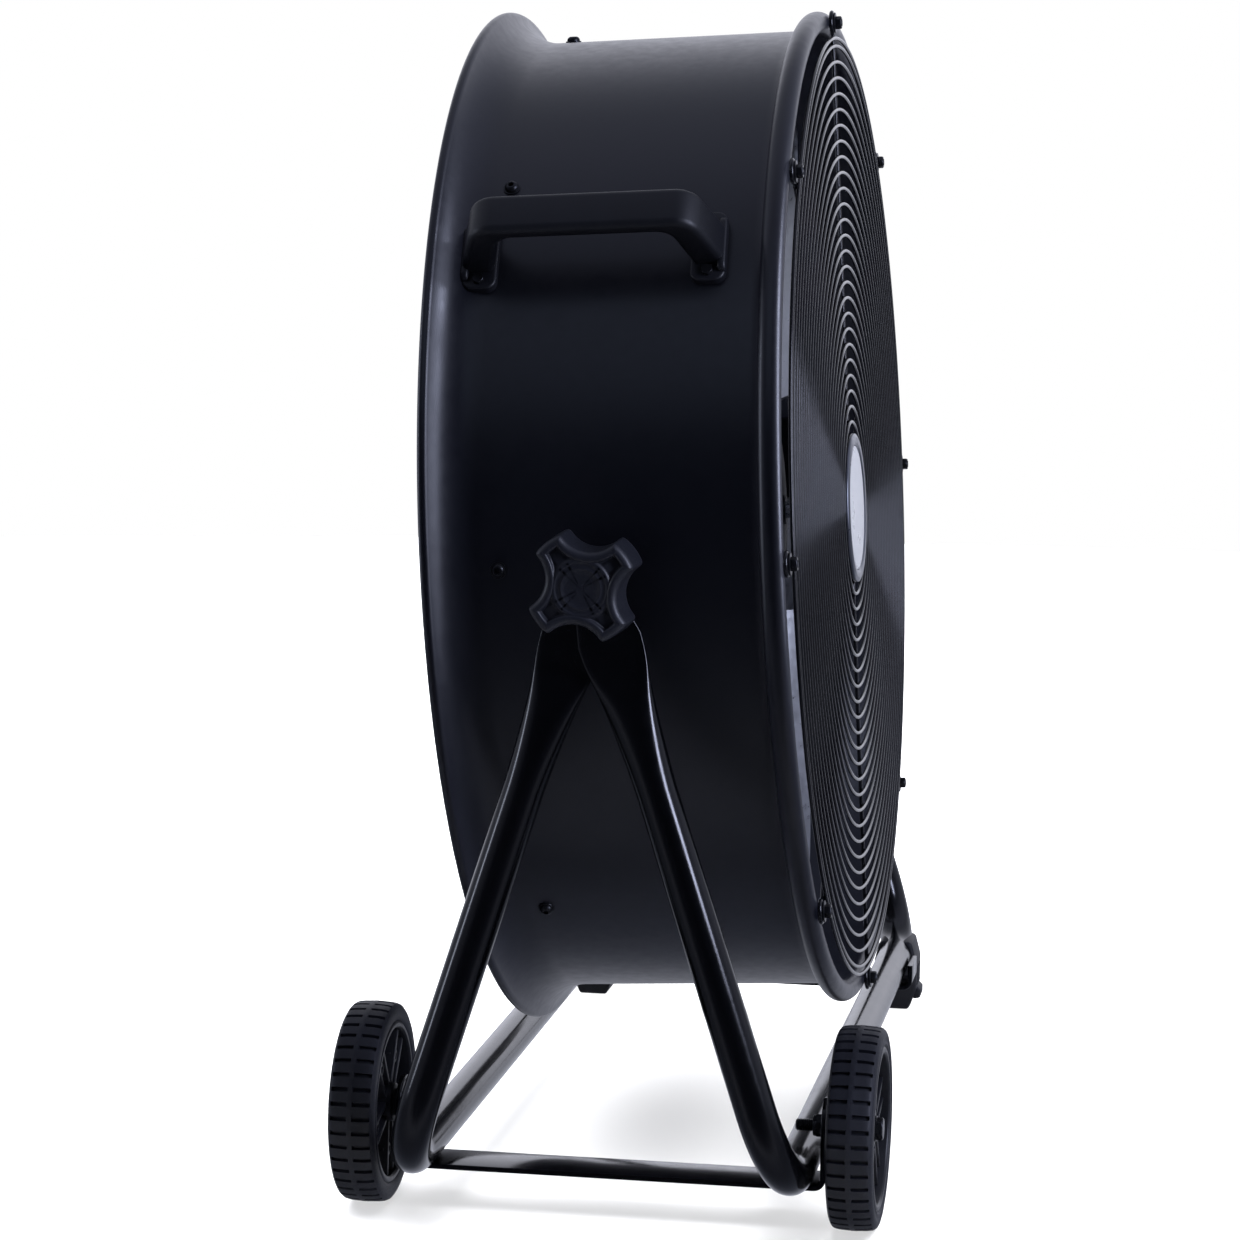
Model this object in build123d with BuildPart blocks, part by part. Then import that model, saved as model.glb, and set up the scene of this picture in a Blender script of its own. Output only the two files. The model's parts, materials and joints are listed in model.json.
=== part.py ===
from build123d import *
from math import sin, cos, radians, atan2, pi
import os

os.makedirs("parts", exist_ok=True)

# ---------------------------------------------------------------------------
# Portable drum fan. Millimetres, +Z up. +X is the way the air blows (front
# guard side), -Y is the side with the wheels, the handle and the near clamp
# knob. Z = 0 is the floor; the tilt axis is the Y line through (0, 0, PIVOT_Z).
# ---------------------------------------------------------------------------

# frame
PIVOT_Z = 418.3          # height of the tilt axis above the floor
BASE_Z = 42.8            # centre height of the two base tubes
BASE_X = 120.8           # half spacing of the base tubes
LEG_Y = 365.0            # plane of the legs
TUBE_R = 12.7            # one inch frame tube
TUBE_WALL = 1.6
BEND_R = 57.0            # centre-line radius of the tube bends
PLATE_W = 40.0           # flattened ends of the tubes
PLATE_T = 4.0
STRAP_W = 36.0
STRAP_T = 3.5
STRAP_Y = 276.0
STRAP_END_X = 138.8      # outside of the upturned strap ends
# wheels
WHEEL_R = 64.5
WHEEL_W = 29.6
WHEEL_X = 157.7
AXLE_R = 4.0
# drum
TILT = 3.1               # rest attitude of the drum, front edge up, degrees
AXIS_UP = 3.6            # drum axis above the tilt axis
DRUM_R = 327.5
WALL = 1.5
BEAD_A = 105.1           # rolled front bead: axial place, section radius
BEAD_R = 7.5
BEAD_C = 332.5
LIP_A = -107.2           # rear lip
LIP_R = 350.0
SCREW_A = -65.5          # ring of radial screws that hold the rear guard
FIX_R = 332.0            # circle of the eight front guard screws
WIRE = 1.25              # radius of the guard ring wire
RIB = 1.5                # radius of the guard rib wire
RING_A = 116.6           # plane of the front guard rings
RIB_A = 114.1            # plane of the front guard ribs
# tilt clamp
BOLT_R = 5.0             # M10 clamp bolts
RUN = 0.08               # running clearance on radius

ct, st = cos(radians(TILT)), sin(radians(TILT))


def D(a, y, r):
    """Point at a along the drum axis, y across, r up from the tilt axis."""
    return Vector(a * ct - r * st, y, PIVOT_Z + a * st + r * ct)


DRUM_AX = Axis(D(0, 0, AXIS_UP), (ct, 0, st))


def profile_plane():
    """Sketch x runs along the drum axis, sketch y is the radius."""
    return Plane(origin=D(0, 0, AXIS_UP), x_dir=(ct, 0, st), z_dir=(0, -1, 0))


def face_plane(a):
    """Plane square to the drum axis at a. Sketch x is +Y, sketch y is up."""
    return Plane(origin=D(a, 0, AXIS_UP), x_dir=(0, 1, 0), z_dir=(ct, 0, st))


def radial_plane(a, deg, r):
    """Plane whose normal points out from the drum axis; deg is counted from
    the near side (-Y) upwards. Sketch x runs along the drum axis."""
    t = radians(deg)
    out = Vector(-sin(t) * st, -cos(t), sin(t) * ct)
    o = D(a, 0, AXIS_UP) + out * r
    return Plane(origin=o, x_dir=(ct, 0, st), z_dir=out)


def side_plane(y, sgn):
    """Plane through the tilt axis facing out to the near (-1) or far (+1)
    side at |y|."""
    return Plane(origin=(0, sgn * y, PIVOT_Z), x_dir=(1, 0, 0), z_dir=(0, sgn, 0))


def pol(deg, r):
    """Sketch point on a face plane; deg counted from the near side upwards."""
    return (-r * cos(radians(deg)), r * sin(radians(deg)))


def save(part, name):
    part.label = name
    export_step(part, f"parts/{name}.step")


EIGHT = [0, 45, 90, 135, 180, 225, 270, 315]

# ---------------------------------------------------------------------------
# Drum: one rolled sheet, flared and curled at the rear, beaded at the front
# ---------------------------------------------------------------------------
FLARE_RAD = 33.0
FLARE_ANG = 70.0
fa = radians(FLARE_ANG)
flare_len = FLARE_RAD * sin(fa)
flare_rise = FLARE_RAD * (1 - cos(fa))
flare_start = LIP_A + flare_len + 2.3
curl_r = 3.2
HANDLE_DEG = 35.3
HANDLE_A = -7.0
HF = 73.0                # half spacing of the handle's screws
with BuildPart() as drum_shell:
    with BuildSketch(profile_plane()):
        with BuildLine():
            l1 = Line((BEAD_A, DRUM_R), (flare_start, DRUM_R))
            l2 = CenterArc((flare_start, DRUM_R + FLARE_RAD), FLARE_RAD, 270, -FLARE_ANG)
            e2 = l2 @ 1
            l3 = Line(e2, (e2.X - WALL * sin(fa), e2.Y - WALL * cos(fa)))
            l4 = CenterArc((flare_start, DRUM_R + FLARE_RAD), FLARE_RAD + WALL, 270 - FLARE_ANG, FLARE_ANG)
            l5 = Line(l4 @ 1, (BEAD_A, DRUM_R - WALL))
            l6 = Line((BEAD_A, DRUM_R - WALL), (BEAD_A, DRUM_R))
        make_face()
        with Locations((BEAD_A, BEAD_C)):
            Circle(BEAD_R)
            Circle(BEAD_R - WALL, mode=Mode.SUBTRACT)
        lipc = (e2.X - 0.5 * WALL * sin(fa) - 1.6, LIP_R - curl_r)
        with Locations(lipc):
            Circle(curl_r)
    revolve(axis=DRUM_AX)
    # screw holes: front bead, rear guard screws, clamp bolts, handle screws
    with BuildSketch(face_plane(BEAD_A)):
        with Locations(*[pol(d, FIX_R) for d in EIGHT]):
            Circle(2.6)
    extrude(amount=BEAD_R + 2, mode=Mode.SUBTRACT)
    for d in EIGHT:
        with BuildSketch(radial_plane(SCREW_A, d, DRUM_R - 4)):
            Circle(2.6)
        extrude(amount=8, mode=Mode.SUBTRACT)
    for sg in (-1, 1):
        with BuildSketch(side_plane(DRUM_R - 8, sg)):
            Circle(BOLT_R + 0.3)
        extrude(amount=14, mode=Mode.SUBTRACT)
    for s in (-1, 1):
        with BuildSketch(radial_plane(HANDLE_A + s * HF, HANDLE_DEG, DRUM_R - 5)):
            with Locations((0, 13), (0, -13)):
                Circle(2.6)
        extrude(amount=10, mode=Mode.SUBTRACT)
save(drum_shell.part, "drum_shell")

# ---------------------------------------------------------------------------
# Front guard
# ---------------------------------------------------------------------------
front_rings = [321.5, 316.3] + [316.3 - 10.7 * i for i in range(1, 25)]
with BuildPart() as front_guard_rings:
    with BuildSketch(profile_plane()):
        with Locations(*[(RING_A, r) for r in front_rings]):
            RegularPolygon(WIRE, 8, rotation=22.5)
    revolve(axis=DRUM_AX)
save(front_guard_rings.part, "front_guard_rings")

# each rib is a bent wire: centre disc -> rim, ending in an eye round its screw
EYE_R = 7.1
with BuildPart() as front_guard_ribs:
    for d in EIGHT:
        ang = radians(d)
        out = Vector(-sin(ang) * st, -cos(ang), sin(ang) * ct)
        c = D(RIB_A, 0, AXIS_UP)
        with BuildSketch(Plane(origin=c + out * 42, x_dir=(ct, 0, st), z_dir=out)):
            Circle(RIB)
        extrude(amount=FIX_R - EYE_R - 42)
    with BuildSketch(profile_plane()):
        with Locations((RIB_A, 43)):
            Circle(RIB + 0.4)
    revolve(axis=DRUM_AX)
    with BuildSketch(face_plane(RIB_A - RIB + 0.2)):
        with Locations(*[pol(d, FIX_R) for d in EIGHT]):
            Circle(EYE_R + RIB)
            Circle(EYE_R - RIB, mode=Mode.SUBTRACT)
    extrude(amount=2 * RIB - 0.4)
save(front_guard_ribs.part, "front_guard_ribs")

# centre: pressed dish behind, bright ring and plain disc in front
with BuildPart() as badge_dish:
    with BuildSketch(face_plane(RIB_A + RIB + 0.4)):
        Circle(51.5)
    extrude(amount=1.4)
save(badge_dish.part, "badge_dish")
with BuildPart() as badge_ring:
    with BuildSketch(profile_plane()):
        a0 = RIB_A + RIB + 1.8
        with BuildLine():
            Polyline((a0, 51.5), (a0 + 1.6, 51.0), (a0 + 2.6, 48.5), (a0 + 2.2, 43.0), (a0, 43.0), (a0, 51.5))
        make_face()
    revolve(axis=DRUM_AX)
save(badge_ring.part, "badge_ring")
with BuildPart() as badge_disc:
    with BuildSketch(face_plane(a0)):
        Circle(42.9)
    extrude(amount=1.7)
save(badge_disc.part, "badge_disc")

with BuildPart() as front_guard_washers:
    with BuildSketch(face_plane(RIB_A + RIB - 0.2)):
        with Locations(*[pol(d, FIX_R) for d in EIGHT]):
            Circle(7.0)
            Circle(2.7, mode=Mode.SUBTRACT)
    extrude(amount=1.2)
save(front_guard_washers.part, "front_guard_washers")
with BuildPart() as front_guard_screws:
    with BuildSketch(face_plane(BEAD_A + 1.0)):
        with Locations(*[pol(d, FIX_R) for d in EIGHT]):
            Circle(2.5)
    extrude(amount=RIB_A + RIB + 1.0 - BEAD_A - 1.0)
    with BuildSketch(face_plane(RIB_A + RIB + 1.0)):
        with Locations(*[pol(d, FIX_R) for d in EIGHT]):
            RegularPolygon(4.6, 6)
    extrude(amount=3.8)
    with BuildSketch(face_plane(RIB_A + RIB + 4.8)):
        with Locations(*[pol(d, FIX_R) for d in EIGHT]):
            Circle(2.2)
    extrude(amount=-2.0, mode=Mode.SUBTRACT)
save(front_guard_screws.part, "front_guard_screws")

# ---------------------------------------------------------------------------
# Rear guard: rings, eight bent ribs whose ends are screwed to the drum wall
# ---------------------------------------------------------------------------
REAR_RIB_A = -90.0
REAR_RIB_R = 2.25
REAR_RING_A = REAR_RIB_A - REAR_RIB_R - 1.5
rear_rings = [96 + 15.0 * i for i in range(16)]
with BuildPart() as rear_guard_rings:
    with BuildSketch(profile_plane()):
        with Locations(*[(REAR_RING_A, r) for r in rear_rings]):
            RegularPolygon(1.5, 8, rotation=22.5)
    revolve(axis=DRUM_AX)
save(rear_guard_rings.part, "rear_guard_rings")
TAB_R = DRUM_R - WALL - REAR_RIB_R
with BuildPart() as rear_guard_ribs:
    for d in EIGHT:
        ang = radians(d)
        out = Vector(-sin(ang) * st, -cos(ang), sin(ang) * ct)
        p0 = D(REAR_RIB_A, 0, AXIS_UP) + out * 58
        p1 = D(REAR_RIB_A, 0, AXIS_UP) + out * TAB_R
        p2 = D(SCREW_A - 6, 0, AXIS_UP) + out * TAB_R
        with BuildLine() as path:
            FilletPolyline(p0, p1, p2, radius=8)
        with BuildSketch(Plane(origin=p0, x_dir=(ct, 0, st), z_dir=out)):
            Circle(REAR_RIB_R)
        sweep(path=path.line)
    for d in EIGHT:
        with BuildSketch(radial_plane(SCREW_A, d, DRUM_R - WALL - 3.0)):
            SlotOverall(20, 12)
            Circle(2.6, mode=Mode.SUBTRACT)
        extrude(amount=2.6)
save(rear_guard_ribs.part, "rear_guard_ribs")
with BuildPart() as rear_guard_screws:
    for d in EIGHT:
        with BuildSketch(radial_plane(SCREW_A, d, DRUM_R - WALL - 7.5)):
            Circle(2.5)
        extrude(amount=WALL + 7.6)
        with BuildSketch(radial_plane(SCREW_A, d, DRUM_R + 0.05)):
            Circle(5.4)
        extrude(amount=1.0)
        with BuildSketch(radial_plane(SCREW_A, d, DRUM_R + 1.05)):
            Circle(4.4)
        extrude(amount=3.2)
        with BuildSketch(radial_plane(SCREW_A, d, DRUM_R + 4.25)):
            RegularPolygon(2.0, 6)
        extrude(amount=-2.0, mode=Mode.SUBTRACT)
save(rear_guard_screws.part, "rear_guard_screws")
with BuildPart() as rear_guard_nuts:
    for d in EIGHT:
        with BuildSketch(radial_plane(SCREW_A, d, DRUM_R - WALL - 3.05)):
            RegularPolygon(4.6, 6)
            Circle(2.52, mode=Mode.SUBTRACT)
        extrude(amount=-4.0)
save(rear_guard_nuts.part, "rear_guard_nuts")

# ---------------------------------------------------------------------------
# Motor on the rear guard's centre plate
# ---------------------------------------------------------------------------
PLATE_A = REAR_RIB_A + REAR_RIB_R
with BuildPart() as motor_plate:
    with BuildSketch(face_plane(PLATE_A)):
        Circle(84)
        Circle(20, mode=Mode.SUBTRACT)
        with PolarLocations(60, 4, 22.5):
            Circle(2.7, mode=Mode.SUBTRACT)
    extrude(amount=3)
save(motor_plate.part, "motor_plate")
MOT_A0 = PLATE_A + 3
MOT_R = 70.0
with BuildPart() as motor_rear_cap:
    with BuildSketch(face_plane(MOT_A0)):
        Circle(MOT_R)
        Circle(14.0, mode=Mode.SUBTRACT)
        with PolarLocations(60, 4, 22.5):
            Circle(2.55, mode=Mode.SUBTRACT)
    extrude(amount=16)
    with BuildSketch(face_plane(MOT_A0 + 6)):
        Circle(MOT_R - 22)
        Circle(19, mode=Mode.SUBTRACT)
    extrude(amount=10, mode=Mode.SUBTRACT)
save(motor_rear_cap.part, "motor_rear_cap")
with BuildPart() as motor_housing:
    with BuildSketch(face_plane(MOT_A0 + 16)):
        Circle(MOT_R)
        Circle(MOT_R - 4, mode=Mode.SUBTRACT)
    extrude(amount=66)
    with BuildSketch(face_plane(MOT_A0 + 22)):
        with PolarLocations(MOT_R - 0.6, 24):
            Rectangle(6, 2.4)
    extrude(amount=54)
save(motor_housing.part, "motor_housing")
with BuildPart() as motor_front_cap:
    with BuildSketch(face_plane(MOT_A0 + 82)):
        Circle(MOT_R)
        Circle(14.0, mode=Mode.SUBTRACT)
    extrude(amount=16)
    with BuildSketch(face_plane(MOT_A0 + 82)):
        Circle(MOT_R - 22)
        Circle(19, mode=Mode.SUBTRACT)
    extrude(amount=10, mode=Mode.SUBTRACT)
    chamfer(motor_front_cap.faces().sort_by(DRUM_AX)[-1].edges().sort_by(SortBy.LENGTH)[-1:], length=5)
save(motor_front_cap.part, "motor_front_cap")
with BuildPart() as motor_screws:
    with BuildSketch(face_plane(MOT_A0 + 10)):
        with PolarLocations(60, 4, 22.5):
            Circle(2.5)
    extrude(amount=-13.1)
    with BuildSketch(face_plane(PLATE_A - 0.05)):
        with PolarLocations(60, 4, 22.5):
            RegularPolygon(4.6, 6)
    extrude(amount=-3.6)
save(motor_screws.part, "motor_screws")
with BuildPart() as motor_stator:
    with BuildSketch(face_plane(MOT_A0 + 26)):
        Circle(MOT_R - 4.1)
        Circle(38, mode=Mode.SUBTRACT)
    extrude(amount=46)
save(motor_stator.part, "motor_stator")
SHAFT_R = 6.0
with BuildPart() as motor_bearings:
    for a in (MOT_A0 + 0.2, MOT_A0 + 88):
        with BuildSketch(face_plane(a)):
            Circle(13.95)
            Circle(SHAFT_R + RUN, mode=Mode.SUBTRACT)
        extrude(amount=9.8)
save(motor_bearings.part, "motor_bearings")

# turning parts
with BuildPart() as motor_shaft:
    with BuildSketch(face_plane(MOT_A0 - 1)):
        Circle(SHAFT_R)
    extrude(amount=160)
save(motor_shaft.part, "motor_shaft")
with BuildPart() as motor_rotor:
    with BuildSketch(face_plane(MOT_A0 + 27)):
        Circle(37.4)
        Circle(SHAFT_R, mode=Mode.SUBTRACT)
    extrude(amount=44)
save(motor_rotor.part, "motor_rotor")

HUB_R = 72.0
HUB_A = MOT_A0 + 106
HUB_L = 40.0
with BuildPart() as impeller_hub:
    with BuildSketch(face_plane(HUB_A)):
        Circle(HUB_R)
        Circle(HUB_R - 4, mode=Mode.SUBTRACT)
    extrude(amount=HUB_L)
    with BuildSketch(face_plane(HUB_A + HUB_L - 6)):
        Circle(HUB_R - 2)
    extrude(amount=6)
    with BuildSketch(face_plane(HUB_A + 4)):
        Circle(17)
    extrude(amount=HUB_L - 8)
    with BuildSketch(face_plane(HUB_A)):
        Circle(SHAFT_R)
    extrude(amount=HUB_L, mode=Mode.SUBTRACT)
save(impeller_hub.part, "impeller_hub")

BLADES = 5
BLADE_PHASE = 60.0
ROOT_R, TIP_R = 62.0, 302.0


def blade_section(rad, pitch, phase):
    """Plane of the section at radius rad, square to the blade's own radius,
    which points phase degrees round from the near side. Sketch x runs along
    the chord, sketch y towards the hollow side's back."""
    t = radians(phase)
    out = Vector(-sin(t) * st, -cos(t), sin(t) * ct)
    axd = Vector(ct, 0, st)
    tan_d = axd.cross(out)
    o = D(HUB_A + HUB_L / 2, 0, AXIS_UP) + out * rad
    xd = tan_d * cos(radians(pitch)) + axd * sin(radians(pitch))
    return Plane(origin=o, x_dir=xd, z_dir=-out)


with BuildPart() as impeller_blades:
    for k in range(BLADES):
        ph = BLADE_PHASE + k * 360 / BLADES
        for rad, chord, pitch, camber, thick in (
            (ROOT_R, 96, 42, 9, 2.4), (150, 126, 32, 11, 2.4), (230, 142, 26, 10, 2.2), (TIP_R, 150, 21, 8, 2.0)):
            h = chord / 2
            with BuildSketch(blade_section(rad, pitch, ph)):
                with BuildLine():
                    ThreePointArc((-h, 0), (0, camber), (h, 0))
                    Line((h, 0), (h, thick))
                    ThreePointArc((h, thick), (0, camber + thick), (-h, thick))
                    Line((-h, thick), (-h, 0))
                make_face()
        loft()
    with BuildSketch(face_plane(HUB_A - 30)):
        Circle(HUB_R)
    extrude(amount=HUB_L + 60, mode=Mode.SUBTRACT)
save(impeller_blades.part, "impeller_blades")
with BuildPart() as impeller_nut:
    with BuildSketch(face_plane(HUB_A + HUB_L + 0.05)):
        Circle(14)
        Circle(SHAFT_R, mode=Mode.SUBTRACT)
    extrude(amount=1.5)
    with BuildSketch(face_plane(HUB_A + HUB_L + 1.55)):
        RegularPolygon(11, 6)
        Circle(SHAFT_R, mode=Mode.SUBTRACT)
    extrude(amount=7)
save(impeller_nut.part, "impeller_nut")

# ---------------------------------------------------------------------------
# Switch box on the rear guard, with its speed knob and an empty cable gland
# ---------------------------------------------------------------------------
BOX_Y, BOX_R0 = 194.3, -2.0
BOX_A = REAR_RIB_A + REAR_RIB_R + 0.1
GLAND = (207.34, -22.0)   # leaves rearwards between two rings of the rear guard
with BuildPart() as switch_box:
    with BuildSketch(face_plane(BOX_A)):
        with Locations((BOX_Y, BOX_R0)):
            RectangleRounded(88, 66, 8)
    extrude(amount=38)
    with BuildSketch(face_plane(BOX_A + 2.5)):
        with Locations((BOX_Y, BOX_R0)):
            RectangleRounded(83, 61, 6)
    extrude(amount=33, mode=Mode.SUBTRACT)
    with BuildSketch(face_plane(BOX_A)):
        with Locations((BOX_Y + 14, BOX_R0 + 12)):
            Circle(5.2)
    extrude(amount=3, mode=Mode.SUBTRACT)
    with BuildSketch(face_plane(BOX_A - 1)):
        with Locations(GLAND):
            Circle(7.02)
    extrude(amount=5, mode=Mode.SUBTRACT)
    with BuildSketch(Plane(origin=D(BOX_A + 19, BOX_Y - 48, AXIS_UP + BOX_R0), x_dir=(ct, 0, st), z_dir=(0, 1, 0))):
        Circle(5.05)
    extrude(amount=9, mode=Mode.SUBTRACT)
save(switch_box.part, "switch_box")
with BuildPart() as rotary_switch:
    with BuildSketch(face_plane(BOX_A + 2.6)):
        with Locations((BOX_Y + 14, BOX_R0 + 12)):
            RectangleRounded(30, 30, 3)
            Circle(3.1, mode=Mode.SUBTRACT)
    extrude(amount=20)
save(rotary_switch.part, "rotary_switch")
with BuildPart() as run_capacitor:
    with BuildSketch(face_plane(BOX_A + 3)):
        with Locations((BOX_Y - 22, BOX_R0)):
            RectangleRounded(24, 44, 4)
    extrude(amount=26)
save(run_capacitor.part, "run_capacitor")
SW = (BOX_Y + 14, BOX_R0 + 12)
KN_A = REAR_RING_A - 1.5 - 1.2
with BuildPart() as speed_knob:
    with BuildSketch(face_plane(BOX_A + 16)):
        with Locations(SW):
            Circle(3.0)
    extrude(amount=KN_A - BOX_A - 16)
    with BuildSketch(face_plane(KN_A)):
        with Locations(SW):
            Circle(17)
    extrude(amount=-3)
    with BuildSketch(face_plane(KN_A - 3)):
        with Locations(SW):
            Circle(15)
    extrude(amount=-10, taper=4)
    with BuildSketch(face_plane(KN_A - 12)):
        with Locations(SW):
            SlotOverall(29, 8, rotation=90)
    extrude(amount=-5)
save(speed_knob.part, "speed_knob")
NUT_A = REAR_RING_A - 1.5 - 0.8   # the cap nut stays just behind the rings
with BuildPart() as cable_gland:
    with BuildSketch(face_plane(BOX_A - 3.95)):
        with Locations(GLAND):
            Circle(7)
    extrude(amount=20.05)
    with BuildSketch(face_plane(BOX_A - 3.95)):
        with Locations(GLAND):
            RegularPolygon(9.5, 6)
    extrude(amount=3.9)
    with BuildSketch(face_plane(BOX_A + 2.55)):
        with Locations(GLAND):
            Circle(9)
    extrude(amount=4)
    with BuildSketch(face_plane(NUT_A - 1)):
        with Locations(GLAND):
            Circle(5.5)
    extrude(amount=BOX_A - NUT_A)
    with BuildSketch(face_plane(NUT_A)):
        with Locations(GLAND):
            RegularPolygon(8.6, 6)
    extrude(amount=-6)
    with BuildSketch(face_plane(NUT_A - 6)):
        with Locations(GLAND):
            Circle(6.8)
    extrude(amount=-2)
    with BuildSketch(face_plane(NUT_A - 8)):
        with Locations(GLAND):
            Circle(4.2)
    extrude(amount=8, mode=Mode.SUBTRACT)
    with BuildSketch(face_plane(NUT_A - 9)):
        with Locations(GLAND):
            Circle(4.0)
    extrude(amount=BOX_A - NUT_A + 28, mode=Mode.SUBTRACT)
save(cable_gland.part, "cable_gland")
with BuildPart() as motor_lead_conduit:
    with BuildSketch(Plane(origin=D(BOX_A + 19, MOT_R + 1.5, AXIS_UP + BOX_R0), x_dir=(ct, 0, st), z_dir=(0, 1, 0))):
        Circle(5)
    extrude(amount=BOX_Y - 44 + 4 - MOT_R - 1.5)
save(motor_lead_conduit.part, "motor_lead_conduit")

# ---------------------------------------------------------------------------
# Handle on the near side of the drum
# ---------------------------------------------------------------------------
HP = radial_plane(HANDLE_A, HANDLE_DEG, DRUM_R)
side = Plane(origin=HP.origin, x_dir=HP.x_dir, z_dir=HP.y_dir * -1)   # sketch x axial, sketch y outwards
GRIP_W, PAD_W, STAND = 27.0, 50.0, 51.0
with BuildPart() as handle:
    with BuildSketch(side):
        with BuildLine():
            FilletPolyline((-83, -1), (-83, 7), (-68.5, STAND), (68.5, STAND), (83, 7), (83, -1), radius=[2, 16, 16, 2])
            Line((83, -1), (61, -1))
            FilletPolyline((61, -1), (61, 6), (52.5, STAND - 12), (-52.5, STAND - 12), (-61, 6), (-61, -1), radius=[3, 10, 10, 3])
            Line((-61, -1), (-83, -1))
        make_face()
    extrude(amount=GRIP_W / 2, both=True)
    fillet(handle.edges().filter_by(GeomType.LINE).filter_by(Axis((0, 0, 0), HP.x_dir)), radius=4.5)
    with BuildSketch(HP):
        with Locations((-72, 0), (72, 0)):
            RectangleRounded(22, PAD_W, 6)
    extrude(amount=-4)
    with BuildSketch(HP):
        with Locations((-72, 0), (72, 0)):
            RectangleRounded(22, PAD_W, 6)
    extrude(amount=5)
    with BuildSketch(HP):
        with Locations((-81, 0), (81, 0)):
            RectangleRounded(4, PAD_W - 8, 1.9)
    extrude(amount=9)
    # trimmed to the outside of the drum, the start of the flare included
    with BuildSketch(profile_plane()):
        with BuildLine():
            g = 0.1
            Line((90, 300), (90, DRUM_R + g))
            Line((90, DRUM_R + g), (flare_start, DRUM_R + g))
            CenterArc((flare_start, DRUM_R + FLARE_RAD), FLARE_RAD - g, 270, -45)
            Line((flare_start - (FLARE_RAD - g) * sin(radians(45)), DRUM_R + FLARE_RAD - (FLARE_RAD - g) * cos(radians(45))), (flare_start - 40, 300))
            Line((flare_start - 40, 300), (90, 300))
        make_face()
    revolve(axis=DRUM_AX, mode=Mode.SUBTRACT)
    with BuildSketch(HP.offset(-6)):
        with Locations((-HF, 13), (-HF, -13), (HF, 13), (HF, -13)):
            Circle(2.6)
    extrude(amount=14, mode=Mode.SUBTRACT)
    with BuildSketch(HP.offset(3.4)):
        with Locations((-HF, 13), (-HF, -13), (HF, 13), (HF, -13)):
            Circle(5.0)
    extrude(amount=26, mode=Mode.SUBTRACT)
save(handle.part, "handle")
with BuildPart() as handle_screws:
    with BuildSketch(HP.offset(-6)):
        with Locations((-HF, 13), (-HF, -13), (HF, 13), (HF, -13)):
            Circle(2.5)
    extrude(amount=9.5)
    with BuildSketch(HP.offset(3.45)):
        with Locations((-HF, 13), (-HF, -13), (HF, 13), (HF, -13)):
            Circle(4.4)
    extrude(amount=2.8)
save(handle_screws.part, "handle_screws")

# ---------------------------------------------------------------------------
# Tilt clamp: bolt, spacer and backing plate on the drum; washer and star knob
# ---------------------------------------------------------------------------
PL_IN = LEG_Y - PLATE_T          # inner face of the inner plate
PL_OUT = LEG_Y + PLATE_T         # outer face of the outer plate
for sg, nm in ((-1, "near"), (1, "far")):
    with BuildPart() as clamp_bolt:
        with BuildSketch(side_plane(DRUM_R - 13, sg)):
            Circle(11)
        extrude(amount=5)
        with BuildSketch(side_plane(DRUM_R - 8, sg)):
            Circle(BOLT_R)
        extrude(amount=395 - DRUM_R + 8)
    save(clamp_bolt.part, f"{nm}_clamp_bolt")
with BuildPart() as clamp_spacers:
    for sg in (-1, 1):
        with BuildSketch(side_plane(DRUM_R - 4, sg)):
            Circle(16)
            Circle(BOLT_R + 0.05, mode=Mode.SUBTRACT)
        extrude(amount=PL_IN - 0.15 - DRUM_R + 4)
    with BuildSketch(face_plane(-40)):
        Circle(DRUM_R + 0.02)
    extrude(amount=80, mode=Mode.SUBTRACT)
save(clamp_spacers.part, "clamp_spacers")
with BuildPart() as backing_plates:
    with BuildSketch(face_plane(-40)):
        Circle(DRUM_R - WALL - 0.05)
        Circle(DRUM_R - WALL - 3.05, mode=Mode.SUBTRACT)
        Rectangle(800, 80, mode=Mode.INTERSECT)
    extrude(amount=80)
    for sg in (-1, 1):
        with BuildSketch(side_plane(DRUM_R - 8, sg)):
            Circle(BOLT_R + 0.05)
        extrude(amount=8, mode=Mode.SUBTRACT)
        with BuildSketch(side_plane(DRUM_R - 13, sg)):
            Circle(11.02)
        extrude(amount=5, mode=Mode.SUBTRACT)
save(backing_plates.part, "backing_plates")
WASH_T = 2.5
for sg, nm in ((-1, "near"), (1, "far")):
    with BuildPart() as clamp_washer:
        with BuildSketch(side_plane(PL_OUT + 0.1, sg)):
            Circle(15)
            Circle(BOLT_R + RUN, mode=Mode.SUBTRACT)
        extrude(amount=WASH_T)
    save(clamp_washer.part, f"{nm}_clamp_washer")
KNOB_Y0 = PL_OUT + 0.1 + WASH_T + 0.1
KNOB_H = 32.5
KNOB_R = 35.0
SCOOP_C, SCOOP_R = 42.0, 19.5
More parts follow.
